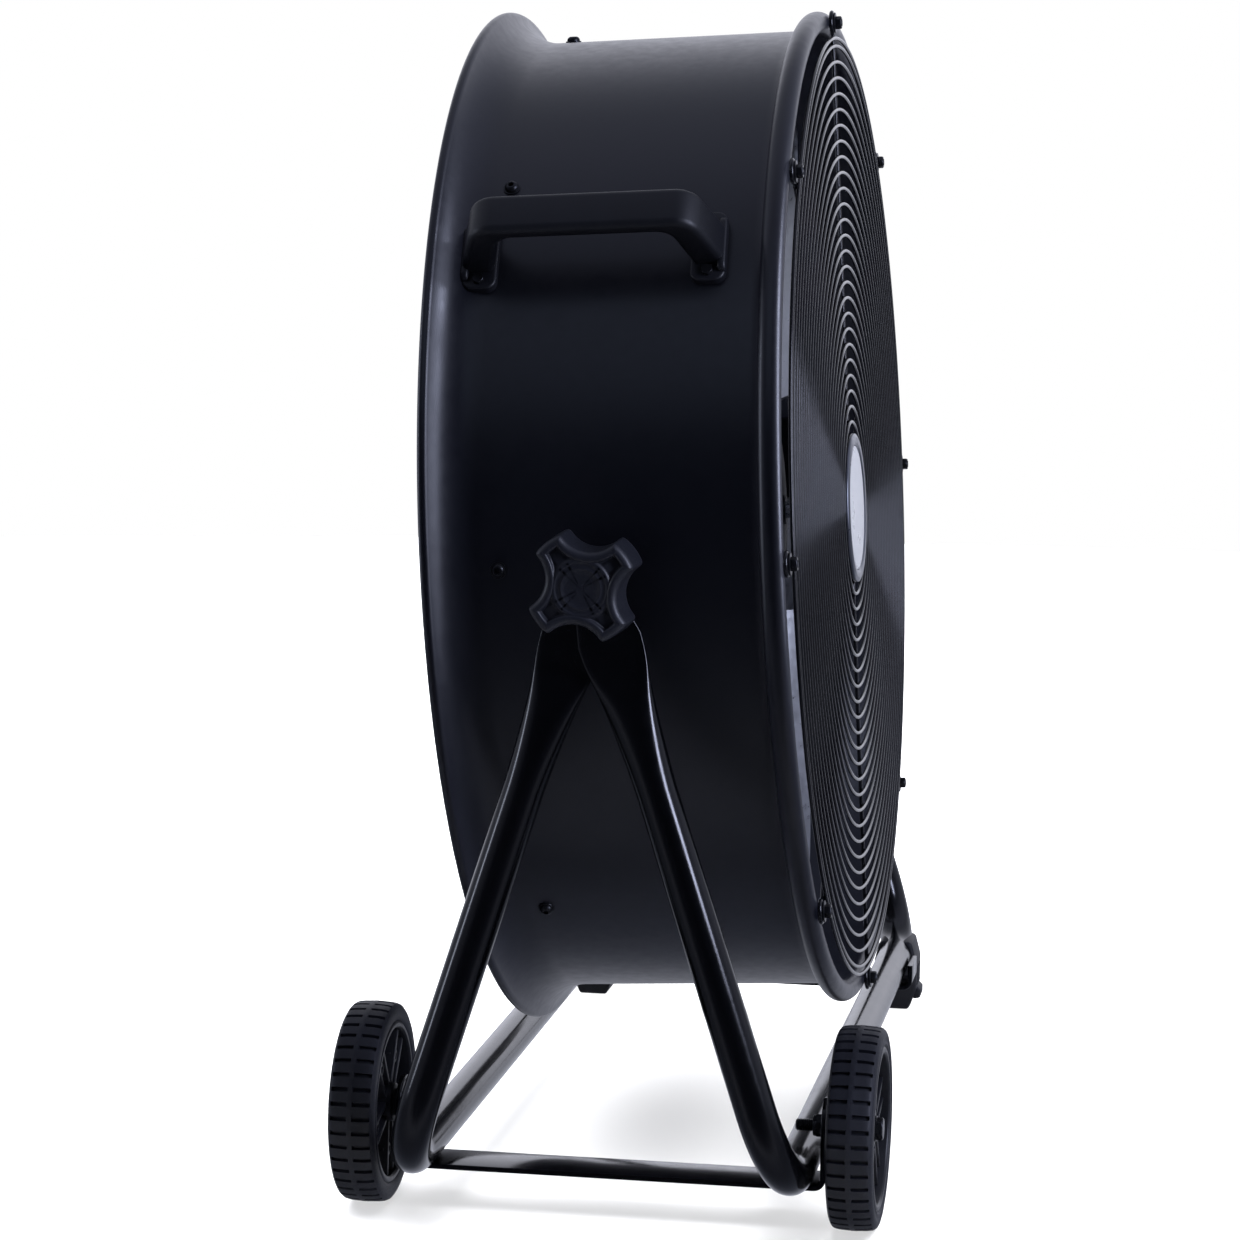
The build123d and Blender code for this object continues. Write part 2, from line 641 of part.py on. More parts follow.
for sg, nm in ((-1, "near"), (1, "far")):
    with BuildPart() as knob:
        with BuildSketch(side_plane(KNOB_Y0, sg)) as outline:
            Circle(KNOB_R)
            with PolarLocations(SCOOP_C, 4, -7 if sg < 0 else 7):
                Circle(SCOOP_R, mode=Mode.SUBTRACT)
            fillet(outline.vertices(), radius=4.0)
        extrude(amount=KNOB_H)
        rim = knob.faces().sort_by(Axis((0, 0, 0), (0, sg, 0)))[-1]
        chamfer(rim.edges(), length=3.2)
        # shallow pockets in the four lobes and a sunk centre disc
        with BuildSketch(side_plane(KNOB_Y0 + KNOB_H, sg)):
            with PolarLocations(25.0, 4, 38 if sg < 0 else -38):
                RectangleRounded(8, 12, 2.5)
        extrude(amount=-3.5, mode=Mode.SUBTRACT)
        with BuildSketch(side_plane(KNOB_Y0 + KNOB_H, sg)):
            Circle(16)
        extrude(amount=-0.8, mode=Mode.SUBTRACT)
        with BuildSketch(side_plane(KNOB_Y0, sg)):
            Circle(8.02)
        extrude(amount=24, mode=Mode.SUBTRACT)
    save(knob.part, f"{nm}_knob")
    with BuildPart() as insert:
        with BuildSketch(side_plane(KNOB_Y0, sg)):
            Circle(8.0)
            Circle(BOLT_R + RUN, mode=Mode.SUBTRACT)
        extrude(amount=23.9)
    save(insert.part, f"{nm}_knob_insert")

# ---------------------------------------------------------------------------
# Frame: two bent tubes with flattened ends that cross at the tilt axis
# ---------------------------------------------------------------------------
lean = atan2(BASE_X, PIVOT_Z - BASE_Z)      # lean of the legs from upright
FLAT_S = 48.0            # the flattened end reaches this far below the pivot
ROUND_S = 132.0          # the tube is fully round from here


def leg_plane(sx, sg, s, off):
    """Plane square to a leg, s below the pivot; sketch x is along +Y."""
    d = Vector(sx * sin(lean), 0, -cos(lean))
    o = Vector(0, sg * (LEG_Y + off), PIVOT_Z) + d * s
    return Plane(origin=o, x_dir=(0, 1, 0), z_dir=d)


def squashed(hw, ht, n):
    """Points of a superellipse, half width hw along sketch y, half
    thickness ht along sketch x."""
    pts = []
    for i in range(24):
        t = 2 * pi * i / 24
        c_, s_ = cos(t), sin(t)
        pts.append((ht * (1 if c_ >= 0 else -1) * abs(c_) ** (2 / n), hw * (1 if s_ >= 0 else -1) * abs(s_) ** (2 / n)))
    return pts


for sx, nm in ((-1, "rear"), (1, "front")):
    off = -PLATE_T / 2 if sx < 0 else PLATE_T / 2
    d = Vector(sx * sin(lean), 0, -cos(lean))
    top_n = Vector(0, -LEG_Y, PIVOT_Z) + d * ROUND_S
    top_f = Vector(0, LEG_Y, PIVOT_Z) + d * ROUND_S
    cor_n = Vector(sx * BASE_X, -LEG_Y, BASE_Z)
    cor_f = Vector(sx * BASE_X, LEG_Y, BASE_Z)
    with BuildPart() as tube:
        with BuildLine() as run:
            FilletPolyline(top_n, cor_n, cor_f, top_f, radius=BEND_R)
        with BuildSketch(Plane(origin=top_n, x_dir=(0, 1, 0), z_dir=d)):
            Circle(TUBE_R)
            Circle(TUBE_R - TUBE_WALL, mode=Mode.SUBTRACT)
        sweep(path=run.line)
        for sg in (-1, 1):
            # transition from the flat end to the round tube
            secs = ((FLAT_S - 2, PLATE_W / 2 - 0.3, 1.8, off, 3.6), (58, 18.3, 2.4, off * 1.25, 3.0),
                    (67, 16.9, 5.2, off, 2.5), (80, 15.5, 8.2, off * 0.6, 2.2), (96, 14.4, 10.6, off * 0.3, 2.1),
                    (114, 13.4, 12.1, off * 0.1, 2.0), (ROUND_S + 1.0, TUBE_R - 0.06, TUBE_R - 0.06, 0, 2.0))
            for s, hw, ht, o_, n_ in secs:
                with BuildSketch(leg_plane(sx, sg, s, o_)):
                    with BuildLine():
                        Spline(*squashed(hw, ht, n_), periodic=True)
                    make_face()
            loft()
            # flat end with a rounded top and the clamp bolt's hole
            with BuildSketch(Plane(origin=(0, sg * (LEG_Y + off), PIVOT_Z), x_dir=(cos(lean), 0, sx * sin(lean)), z_dir=(0, -1, 0))):
                with BuildLine():
                    Polyline((-PLATE_W / 2, -FLAT_S - 0.5), (-PLATE_W / 2, 6), (-12, 20), (12, 20), (PLATE_W / 2, 6), (PLATE_W / 2, -FLAT_S - 0.5), (-PLATE_W / 2, -FLAT_S - 0.5))
                make_face()
                Circle(BOLT_R + RUN, mode=Mode.SUBTRACT)
            extrude(amount=PLATE_T / 2 - 0.02, both=True)
        with BuildSketch(Plane(origin=(sx * BASE_X, 316, BASE_Z - TUBE_R - 2), x_dir=(1, 0, 0), z_dir=(0, 0, 1))):
            Circle(2.1)
        extrude(amount=6, mode=Mode.SUBTRACT)
    save(tube.part, f"{nm}_frame_tube")

# straps under the base tubes; their ends turn up and carry the wheel axles
AX_Z = WHEEL_R
for sg, nm in ((-1, "near"), (1, "far")):
    zt = BASE_Z - TUBE_R
    xo, zi = STRAP_END_X, zt
    hi = AX_Z if sg < 0 else 46.0
    with BuildPart() as strap:
        with BuildSketch(Plane(origin=(0, sg * STRAP_Y, 0), x_dir=(1, 0, 0), z_dir=(0, -1, 0))):
            with BuildLine():
                FilletPolyline((-xo, hi), (-xo, zt - STRAP_T), (xo, zt - STRAP_T), (xo, hi), radius=[7.5, 7.5])
                Line((xo, hi), (xo - STRAP_T, hi))
                FilletPolyline((xo - STRAP_T, hi), (xo - STRAP_T, zt), (-xo + STRAP_T, zt), (-xo + STRAP_T, hi), radius=[4, 4])
                Line((-xo + STRAP_T, hi), (-xo, hi))
            make_face()
        extrude(amount=STRAP_W / 2, both=True)
        if sg < 0:
            with BuildSketch(Plane(origin=(-xo, sg * STRAP_Y, AX_Z), x_dir=(0, 1, 0), z_dir=(1, 0, 0))):
                Circle(STRAP_W / 2)
            extrude(amount=STRAP_T)
            with BuildSketch(Plane(origin=(xo - STRAP_T, sg * STRAP_Y, AX_Z), x_dir=(0, 1, 0), z_dir=(1, 0, 0))):
                Circle(STRAP_W / 2)
            extrude(amount=STRAP_T)
            with BuildSketch(Plane(origin=(-200, sg * STRAP_Y, AX_Z), x_dir=(0, 1, 0), z_dir=(1, 0, 0))):
                Circle(AXLE_R + 0.05)
            extrude(amount=400, mode=Mode.SUBTRACT)
    save(strap.part, f"{nm}_strap")

# far-side feet: moulded saddles round the ends of the base tubes
for sx, nm in ((-1, "rear"), (1, "front")):
    with BuildPart() as foot:
        with BuildSketch(Plane(origin=(sx * BASE_X, 304, 0), x_dir=(1, 0, 0), z_dir=(0, 1, 0))):
            with BuildLine():
                Polyline((-10.5, 0), (10.5, 0), (12.5, -4), (16.6, -16), (16.6, -38), (12.5, -54), (-12.5, -54), (-16.6, -38), (-16.6, -16), (-12.5, -4), (-10.5, 0))
            make_face()
        extrude(amount=38)
        d = Vector(sx * sin(lean), 0, -cos(lean))
        with BuildLine() as run2:
            FilletPolyline(Vector(sx * BASE_X, 250, BASE_Z), Vector(sx * BASE_X, LEG_Y, BASE_Z), Vector(0, LEG_Y, PIVOT_Z) + d * 250, radius=BEND_R)
        with BuildSketch(Plane(origin=(sx * BASE_X, 250, BASE_Z), x_dir=(1, 0, 0), z_dir=(0, 1, 0))):
            Circle(TUBE_R + 0.05)
        sweep(path=run2.line, mode=Mode.SUBTRACT)
        with BuildSketch(Plane(origin=(sx * BASE_X, 316, 0), x_dir=(1, 0, 0), z_dir=(0, 0, 1))):
            Circle(2.1)
        extrude(amount=34, mode=Mode.SUBTRACT)
        with BuildSketch(Plane(origin=(sx * BASE_X, 316, 0), x_dir=(1, 0, 0), z_dir=(0, 0, 1))):
            Circle(4.6)
        extrude(amount=7, mode=Mode.SUBTRACT)
    save(foot.part, f"{nm}_foot")
with BuildPart() as foot_screws:
    for sx in (-1, 1):
        with BuildSketch(Plane(origin=(sx * BASE_X, 316, 4.0), x_dir=(1, 0, 0), z_dir=(0, 0, 1))):
            Circle(4.4)
        extrude(amount=2.95)
        with BuildSketch(Plane(origin=(sx * BASE_X, 316, 6.0), x_dir=(1, 0, 0), z_dir=(0, 0, 1))):
            Circle(2.0)
        extrude(amount=30)
save(foot_screws.part, "foot_screws")

# ---------------------------------------------------------------------------
# Wheels and axles, near side only
# ---------------------------------------------------------------------------
for sx, nm in ((-1, "rear"), (1, "front")):
    wp = lambda x: Plane(origin=(sx * x, -STRAP_Y, AX_Z), x_dir=(0, sx, 0), z_dir=(sx, 0, 0))
    x0 = WHEEL_X - WHEEL_W / 2
    x1 = WHEEL_X + WHEEL_W / 2
    with BuildPart() as tyre:
        with BuildSketch(Plane(origin=(0, -STRAP_Y, AX_Z), x_dir=(sx, 0, 0), z_dir=(0, -sx, 0))):
            with BuildLine():
                Polyline((x0 + 1.5, 52.0), (x0, 54), (x0, 61.0), (x0 + 3.5, 64.0), (WHEEL_X, WHEEL_R), (x1 - 3.5, 64.0), (x1, 61.0), (x1, 54), (x1 - 1.5, 52.0), (x0 + 1.5, 52.0))
            make_face()
        revolve(axis=Axis((0, -STRAP_Y, AX_Z), (1, 0, 0)))
    save(tyre.part, f"{nm}_wheel_tyre")
    with BuildPart() as core:
        with BuildSketch(wp(x0 + 1.5)):
            Circle(51.95)
            Circle(47.5, mode=Mode.SUBTRACT)
        extrude(amount=WHEEL_W - 3)
        with BuildSketch(wp(x0 + 12.5)):
            Circle(48)
        extrude(amount=4)
        with BuildSketch(wp(x0)):
            Circle(13)
        extrude(amount=24.6)
        with BuildSketch(wp(x0 + 4)):
            for k in range(5):
                for o_ in (-15, 15):
                    with PolarLocations(30, 1, 72 * k + o_):
                        Rectangle(40, 4, rotation=0)
        extrude(amount=21)
        with BuildSketch(wp(x0 - 1)):
            Circle(AXLE_R + RUN)
        extrude(amount=WHEEL_W + 2, mode=Mode.SUBTRACT)
    save(core.part, f"{nm}_wheel_core")
with BuildPart() as axle_bolts:
    for sx in (-1, 1):
        xh = WHEEL_X - WHEEL_W / 2 + 24.6 + 0.3
        with BuildSketch(Plane(origin=(sx * 117.5, -STRAP_Y, AX_Z), x_dir=(0, sx, 0), z_dir=(sx, 0, 0))):
            Circle(AXLE_R)
        extrude(amount=xh - 117.5)
        with BuildSketch(Plane(origin=(sx * xh, -STRAP_Y, AX_Z), x_dir=(0, sx, 0), z_dir=(sx, 0, 0))):
            RegularPolygon(7.5, 6)
        extrude(amount=5.3)
save(axle_bolts.part, "axle_bolts")
with BuildPart() as axle_nuts:
    for sx in (-1, 1):
        with BuildSketch(Plane(origin=(sx * (STRAP_END_X - STRAP_T - 6.55), -STRAP_Y, AX_Z), x_dir=(0, sx, 0), z_dir=(sx, 0, 0))):
            RegularPolygon(7.5, 6)
            Circle(AXLE_R + 0.02, mode=Mode.SUBTRACT)
        extrude(amount=6.5)
save(axle_nuts.part, "axle_nuts")
with BuildPart() as axle_washers:
    for sx in (-1, 1):
        with BuildSketch(Plane(origin=(sx * (STRAP_END_X + 0.05), -STRAP_Y, AX_Z), x_dir=(0, sx, 0), z_dir=(sx, 0, 0))):
            Circle(9)
            Circle(AXLE_R + 0.02, mode=Mode.SUBTRACT)
        extrude(amount=WHEEL_X - WHEEL_W / 2 - STRAP_END_X - 0.05 - 0.25)
save(axle_washers.part, "axle_washers")
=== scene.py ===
import json
import math
import bmesh
import bpy
import numpy as np
from math import sin, cos, pi, radians, sqrt
from mathutils import Matrix, Vector


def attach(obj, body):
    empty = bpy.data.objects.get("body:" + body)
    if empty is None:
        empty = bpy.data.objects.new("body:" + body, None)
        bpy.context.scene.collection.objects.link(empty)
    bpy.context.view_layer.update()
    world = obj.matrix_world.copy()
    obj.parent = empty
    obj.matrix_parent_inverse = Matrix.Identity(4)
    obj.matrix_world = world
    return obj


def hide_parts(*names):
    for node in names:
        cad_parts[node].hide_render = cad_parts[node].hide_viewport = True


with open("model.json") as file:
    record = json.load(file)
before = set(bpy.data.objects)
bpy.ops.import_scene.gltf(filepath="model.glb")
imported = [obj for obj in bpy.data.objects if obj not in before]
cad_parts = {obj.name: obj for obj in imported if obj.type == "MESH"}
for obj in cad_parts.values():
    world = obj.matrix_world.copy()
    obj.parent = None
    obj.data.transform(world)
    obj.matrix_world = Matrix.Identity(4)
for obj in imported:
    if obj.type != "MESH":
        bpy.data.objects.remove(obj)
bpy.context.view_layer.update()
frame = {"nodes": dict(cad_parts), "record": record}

# ---------------------------------------------------------------------------
# Shared dimensions, millimetres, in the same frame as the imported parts
# ---------------------------------------------------------------------------
PIVOT_Z = 418.3
TILT = radians(3.1)
CT, ST = cos(TILT), sin(TILT)
AXIS_UP = 3.6
BASE_Z, BASE_X, LEG_Y = 42.8, 120.8, 365.0
TUBE_R, BEND_R = 12.7, 57.0
STRAP_W, STRAP_T, STRAP_Y, STRAP_END = 36.0, 3.5, 276.0, 138.8
WHEEL_R, WHEEL_W, WHEEL_X = 64.5, 29.6, 157.7
DRUM_R, WALL = 327.5, 1.5
BEAD_A, BEAD_R, BEAD_C = 105.1, 7.5, 332.5
SCREW_A = -65.5
FIX_R = 332.0
RING_A, RIB_A = 116.6, 114.1
EIGHT = [0, 45, 90, 135, 180, 225, 270, 315]
FLARE_RAD, FLARE_ANG = 33.0, radians(70)
FLARE_START = -107.2 + FLARE_RAD * sin(FLARE_ANG) + 2.3


class Fr:
    """A right-handed local frame: three unit axes and an origin, in mm."""

    def __init__(self, o, ex, ey, ez=None):
        self.o = np.array(o, float)
        self.ex = np.array(ex, float) / np.linalg.norm(ex)
        ey = np.array(ey, float)
        ey = ey - self.ex * ey.dot(self.ex)
        self.ey = ey / np.linalg.norm(ey)
        self.ez = np.cross(self.ex, self.ey) if ez is None else np.array(ez, float)

    def __call__(self, P):
        P = np.asarray(P, float).reshape(-1, 3)
        return self.o + P[:, :1] * self.ex + P[:, 1:2] * self.ey + P[:, 2:3] * self.ez


def drum_pt(a, y, u):
    """a along the drum axis, y across, u up from the drum axis."""
    r = u + AXIS_UP
    return np.array([a * CT - r * ST, y, PIVOT_Z + a * ST + r * CT])


AX = np.array([CT, 0.0, ST])
UP = np.array([-ST, 0.0, CT])
YY = np.array([0.0, 1.0, 0.0])
# local x = along the axis, y = towards the near side, z = up
DRUM = Fr(drum_pt(0, 0, 0), AX, -YY, UP)
WORLD = Fr((0, 0, 0), (1, 0, 0), (0, 1, 0))


def rad_dir(deg):
    t = radians(deg)
    return -YY * cos(t) + UP * sin(t)


def rad_frame(a, deg, r):
    """Local x along the drum axis, y round it (upwards on the near side), z out from it."""
    out = rad_dir(deg)
    t = radians(deg)
    tan_ = YY * sin(t) + UP * cos(t)
    return Fr(drum_pt(a, 0, 0) + out * r, AX, tan_, out)


def face_frame(a, deg, r):
    """Local x along the drum axis (out of the front), y out from the axis, z round it."""
    out = rad_dir(deg)
    return Fr(drum_pt(a, 0, 0) + out * r, AX, out)


# ---------------------------------------------------------------------------
# Mesh code
# ---------------------------------------------------------------------------
class M:
    """Vertices and faces gathered in mm, in the row frame."""

    def __init__(self):
        self.V, self.F, self.n = [], [], 0

    def add(self, V, F):
        V = np.asarray(V, float).reshape(-1, 3)
        self.V.append(V)
        k = self.n
        self.F += [tuple(i + k for i in f) for f in F]
        self.n += len(V)
        return self

    def flip(self):
        self.F = [tuple(reversed(f)) for f in self.F]
        return self


def lathe(prof, seg, fr, closed=True, start=0.0, arc=2 * pi):
    """Turns (along, radius) points about the frame's x axis. An open profile
    whose ends lie on the axis makes a closed body."""
    prof = np.asarray(prof, float)
    n = len(prof)
    full = abs(arc - 2 * pi) < 1e-6
    th = start + np.arange(seg if full else seg + 1) * arc / seg
    V = np.zeros((len(th), n, 3))
    V[:, :, 0] = prof[None, :, 0]
    V[:, :, 1] = prof[None, :, 1] * np.cos(th)[:, None]
    V[:, :, 2] = prof[None, :, 1] * np.sin(th)[:, None]
    V = V.reshape(-1, 3)
    F = []
    rows = len(th)
    for j in range(rows if full else rows - 1):
        j2 = (j + 1) % rows
        for i in range(n if closed else n - 1):
            i2 = (i + 1) % n
            F.append((j * n + i, j * n + i2, j2 * n + i2, j2 * n + i))
    if not full and closed:
        F.append(tuple(range(n)))
        F.append(tuple(reversed([(rows - 1) * n + i for i in range(n)])))
    return fr(V), F


def arc_pts(c, r, a0, a1, n):
    t = np.linspace(radians(a0), radians(a1), n)
    return [(c[0] + r * cos(x), c[1] + r * sin(x)) for x in t]


def rounded(pts, rad, n=4, closed=True):
    """Rounds the corners of a polygon. rad is one number or one per corner."""
    P = [np.array(p, float) for p in pts]
    m = len(P)
    rs = [rad] * m if np.isscalar(rad) else list(rad)
    out = []
    for i in range(m):
        if not closed and i in (0, m - 1):
            out.append(tuple(P[i]))
            continue
        p, q, s = P[i - 1], P[i], P[(i + 1) % m]
        a, b = p - q, s - q
        la, lb = np.linalg.norm(a), np.linalg.norm(b)
        a, b = a / la, b / lb
        ang = math.acos(max(-1, min(1, a.dot(b))))
        r = rs[i]
        if r < 1e-6 or ang > pi - 0.02:
            out.append(tuple(q))
            continue
        d = min(r / math.tan(ang / 2), 0.49 * la, 0.49 * lb)
        r = d * math.tan(ang / 2)
        bis = (a + b) / np.linalg.norm(a + b)
        c = q + bis * (r / sin(ang / 2))
        s0, s1 = q + a * d - c, q + b * d - c
        a0, a1 = math.atan2(s0[1], s0[0]), math.atan2(s1[1], s1[0])
        da = (a1 - a0 + pi) % (2 * pi) - pi
        for k in range(n + 1):
            t = a0 + da * k / n
            out.append((c[0] + r * cos(t), c[1] + r * sin(t)))
    return out


def fillet_path(pts, rads, step=3.0):
    """A 3-D polyline with rounded corners, sampled every step mm or so."""
    P = [np.array(p, float) for p in pts]
    out = [P[0]]
    for i in range(1, len(P) - 1):
        q = P[i]
        a, b = P[i - 1] - q, P[i + 1] - q
        la, lb = np.linalg.norm(a), np.linalg.norm(b)
        a, b = a / la, b / lb
        ang = math.acos(max(-1, min(1, a.dot(b))))
        r = rads[i - 1]
        d = r / math.tan(ang / 2)
        bis = (a + b) / np.linalg.norm(a + b)
        c = q + bis * (r / sin(ang / 2))
        s0, s1 = q + a * d - c, q + b * d - c
        turn = math.acos(max(-1, min(1, s0.dot(s1) / (r * r))))
        k = max(4, int(turn * r / step))
        w = s1 - s0 * (s0.dot(s1) / (r * r))
        w = w / np.linalg.norm(w) * r
        for j in range(k + 1):
            t = turn * j / k
            out.append(c + s0 * cos(t) + w * sin(t))
    out.append(P[-1])
    dense = [out[0]]
    for p, q in zip(out, out[1:]):
        L = np.linalg.norm(q - p)
        k = max(1, int(round(L / (step * 3))))
        for j in range(1, k + 1):
            dense.append(p + (q - p) * j / k)
    return np.array(dense)


def sweep(path, section, up=None, scale=None, closed=False, caps=True, twist=None):
    """Sweeps a closed section along a path. section is a list of (x, y) or a
    function of the running number and the length so far."""
    P = np.asarray(path, float)
    n = len(P)
    T = np.zeros_like(P)
    if closed:
        T = np.roll(P, -1, 0) - np.roll(P, 1, 0)
    else:
        T[1:-1] = P[2:] - P[:-2]
        T[0], T[-1] = P[1] - P[0], P[-1] - P[-2]
    T /= np.linalg.norm(T, axis=1)[:, None]
    s = np.concatenate([[0], np.cumsum(np.linalg.norm(np.diff(P, axis=0), axis=1))])
    if up is None:
        up = np.array([0, 0, 1.0]) if abs(T[0][2]) < 0.9 else np.array([1.0, 0, 0])
    X = np.cross(up, T[0])
    X /= np.linalg.norm(X)
    V, rows = [], 0
    for i in range(n):
        if i:
            X = X - T[i] * X.dot(T[i])
            X /= np.linalg.norm(X)
        Y = np.cross(T[i], X)
        sec = section(i, s[i]) if callable(section) else section
        sec = np.asarray(sec, float)
        k = 1.0 if scale is None else scale[i]
        V.append(P[i] + sec[:, :1] * k * X + sec[:, 1:2] * k * Y)
        rows = len(sec)
    V = np.concatenate(V)
    F = []
    for i in range(n if closed else n - 1):
        i2 = (i + 1) % n
        for j in range(rows):
            j2 = (j + 1) % rows
            F.append((i * rows + j, i * rows + j2, i2 * rows + j2, i2 * rows + j))
    if caps and not closed:
        F.append(tuple(reversed(range(rows))))
        F.append(tuple((n - 1) * rows + j for j in range(rows)))
    return V, F


def ring_pts(r, n=12, ph=0.0):
    t = ph + np.arange(n) * 2 * pi / n
    return np.stack([r * np.cos(t), r * np.sin(t)], 1)


def torus(fr, a, R, r, seg=220, n=10):
    """A wire ring about the frame's x axis at a."""
    prof = [(a + r * cos(t), R + r * sin(t)) for t in np.arange(n) * 2 * pi / n]
    return lathe(prof, seg, fr)


def prism(poly, fr, x0, x1, cham=0.0, cham_lo=None, steps=3):
    """Extrudes a polygon (y, z of the frame) from x0 to x1 with rounded rims."""
    poly = np.asarray(poly, float)
    n = len(poly)
    lo = cham if cham_lo is None else cham_lo
    area = 0.5 * np.sum(poly[:, 0] * np.roll(poly[:, 1], -1) - np.roll(poly[:, 0], -1) * poly[:, 1])
    if area < 0:
        poly = poly[::-1]
    e = np.roll(poly, -1, 0) - poly
    e /= np.linalg.norm(e, axis=1)[:, None]
    nrm = np.stack([e[:, 1], -e[:, 0]], 1)
    pn = np.roll(nrm, 1, 0)
    mit = nrm + pn
    mit /= np.maximum(0.35, (mit * nrm).sum(1))[:, None]
    up = 1 if x1 > x0 else -1
    lowr = [(x0 + up * lo * (1 - cos(pi / 2 * k / steps)), lo * (1 - sin(pi / 2 * k / steps))) for k in range(steps + 1)] if lo > 0 else [(x0, 0)]
    hir = [(x1 - up * cham * (1 - cos(pi / 2 * k / steps)), cham * (1 - sin(pi / 2 * k / steps))) for k in range(steps + 1)][::-1] if cham > 0 else [(x1, 0)]
    rings = lowr + hir
    V = []
    for x, ins in rings:
        q = poly - mit * ins
        V.append(np.column_stack([np.full(n, x), q]))
    V = np.concatenate(V)
    F = []
    for i in range(len(rings) - 1):
        for j in range(n):
            j2 = (j + 1) % n
            f = (i * n + j, i * n + j2, (i + 1) * n + j2, (i + 1) * n + j)
            F.append(f if up > 0 else f[::-1])
    f0 = tuple(reversed(range(n)))
    f1 = tuple((len(rings) - 1) * n + j for j in range(n))
    F += [f0, f1] if up > 0 else [f0[::-1], f1[::-1]]
    return fr(V), F


def hexagon(af, ph=0.0):
    """Corner points of a hexagon, af across flats."""
    r = af / 2 / cos(pi / 6)
    return [(r * cos(ph + k * pi / 3), r * sin(ph + k * pi / 3)) for k in range(6)]


def hex_head(fr, x0, x1, af, ph=0.0, socket=0.0, crown=0.16):
    """A hexagon head or nut blank whose outer end is chamfered round."""
    n = 48
    R = af / 2 / cos(pi / 6)
    th = np.arange(n) * 2 * pi / n

    def hexr(t):
        t = (t - ph) % (pi / 3) - pi / 6
        return af / 2 / cos(t)

    hr = np.array([hexr(t) for t in th])
    rows = []
    h = x1 - x0
    c = af / 2 * 0.97
    rows.append((x0, hr * 0.985))
    rows.append((x0 + 0.03 * h, hr))
    for k in range(5):
        x = x1 - abs(h) * crown * (1 - k / 4) * (1 if h > 0 else -1)
        lim = c + (R - c) * (1 - k / 4)
        rows.append((x, np.minimum(hr, lim)))
    rows.append((x1, np.full(n, c * 0.96)))
    if socket > 0:
        rows.append((x1, np.full(n, socket + 0.25)))
        sr = np.array([socket * cos(pi / 6) / cos((t - ph) % (pi / 3) - pi / 6) for t in th])
        rows.append((x1 - 0.2 * (1 if h > 0 else -1), sr))
        rows.append((x1 - h * 0.55, sr))
        rows.append((x1 - h * 0.6, sr * 0.3))
    V = np.concatenate([np.column_stack([np.full(n, x), r * np.cos(th), r * np.sin(th)]) for x, r in rows])
    F = []
    for i in range(len(rows) - 1):
        for j in range(n):
            j2 = (j + 1) % n
            F.append((i * n + j, i * n + j2, (i + 1) * n + j2, (i + 1) * n + j))
    F.append(tuple(reversed(range(n))))
    F.append(tuple((len(rows) - 1) * n + j for j in range(n)))
    if h < 0:
        F = [f[::-1] for f in F]
    return fr(V), F


def piece(name, m, body, mat, replaces=(), sharp=40.0, subsurf=0, bevel=0.0, bevel_seg=2):
    """Makes an object of the gathered mesh, rides it and gives it a finish."""
    V = np.concatenate(m.V) * 0.001
    me = bpy.data.meshes.new(name)
    me.from_pydata(V.tolist(), [], m.F)
    me.validate()
    bm = bmesh.new()
    bm.from_mesh(me)
    bmesh.ops.remove_doubles(bm, verts=bm.verts, dist=1e-6)
    bmesh.ops.recalc_face_normals(bm, faces=bm.faces)
    bm.to_mesh(me)
    bm.free()
    me.update()
    ob = bpy.data.objects.new(name, me)
    bpy.context.scene.collection.objects.link(ob)
    for p in me.polygons:
        p.use_smooth = True
    if sharp < 180:
        me.set_sharp_from_angle(angle=radians(sharp))
    mats = mat if isinstance(mat, (list, tuple)) else [mat]
    for mm in mats:
        me.materials.append(mm)
    if bevel:
        b = ob.modifiers.new("bevel", "BEVEL")
        b.width, b.segments, b.limit_method = bevel * 0.001, bevel_seg, "ANGLE"
        b.angle_limit = radians(35)
        b.harden_normals = False
    if subsurf:
        s = ob.modifiers.new("sub", "SUBSURF")
        s.levels = s.render_levels = subsurf
    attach(ob, body)
    if replaces:
        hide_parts(*replaces)
    return ob


# ---------------------------------------------------------------------------
# Materials
# ---------------------------------------------------------------------------
def new_mat(name):
    m = bpy.data.materials.new(name)
    m.use_nodes = True
    nt = m.node_tree
    for n in list(nt.nodes):
        nt.nodes.remove(n)
    out = nt.nodes.new("ShaderNodeOutputMaterial")
    b = nt.nodes.new("ShaderNodeBsdfPrincipled")
    nt.links.new(b.outputs[0], out.inputs[0])
    return m, nt, b


def coords(nt, scale=(1, 1, 1), rot=(0, 0, 0)):
    tc = nt.nodes.new("ShaderNodeTexCoord")
    mp = nt.nodes.new("ShaderNodeMapping")
    mp.inputs["Scale"].default_value = scale
    mp.inputs["Rotation"].default_value = rot
    nt.links.new(tc.outputs["Object"], mp.inputs[0])
    return mp.outputs[0]


def noise(nt, vec, scale, detail=3.0, rough=0.5, dist=0.0):
    n = nt.nodes.new("ShaderNodeTexNoise")
    n.inputs["Scale"].default_value = scale
    n.inputs["Detail"].default_value = detail
    n.inputs["Roughness"].default_value = rough
    n.inputs["Distortion"].default_value = dist
    nt.links.new(vec, n.inputs["Vector"])
    return n.outputs["Fac"]


def ramp(nt, fac, stops):
    r = nt.nodes.new("ShaderNodeValToRGB")
    e = r.color_ramp.elements
    while len(e) < len(stops):
        e.new(0.5)
    for k, (p, c) in enumerate(stops):
        e[k].position = p
        e[k].color = (*c, 1) if len(c) == 3 else c
    nt.links.new(fac, r.inputs[0])
    return r.outputs[0]


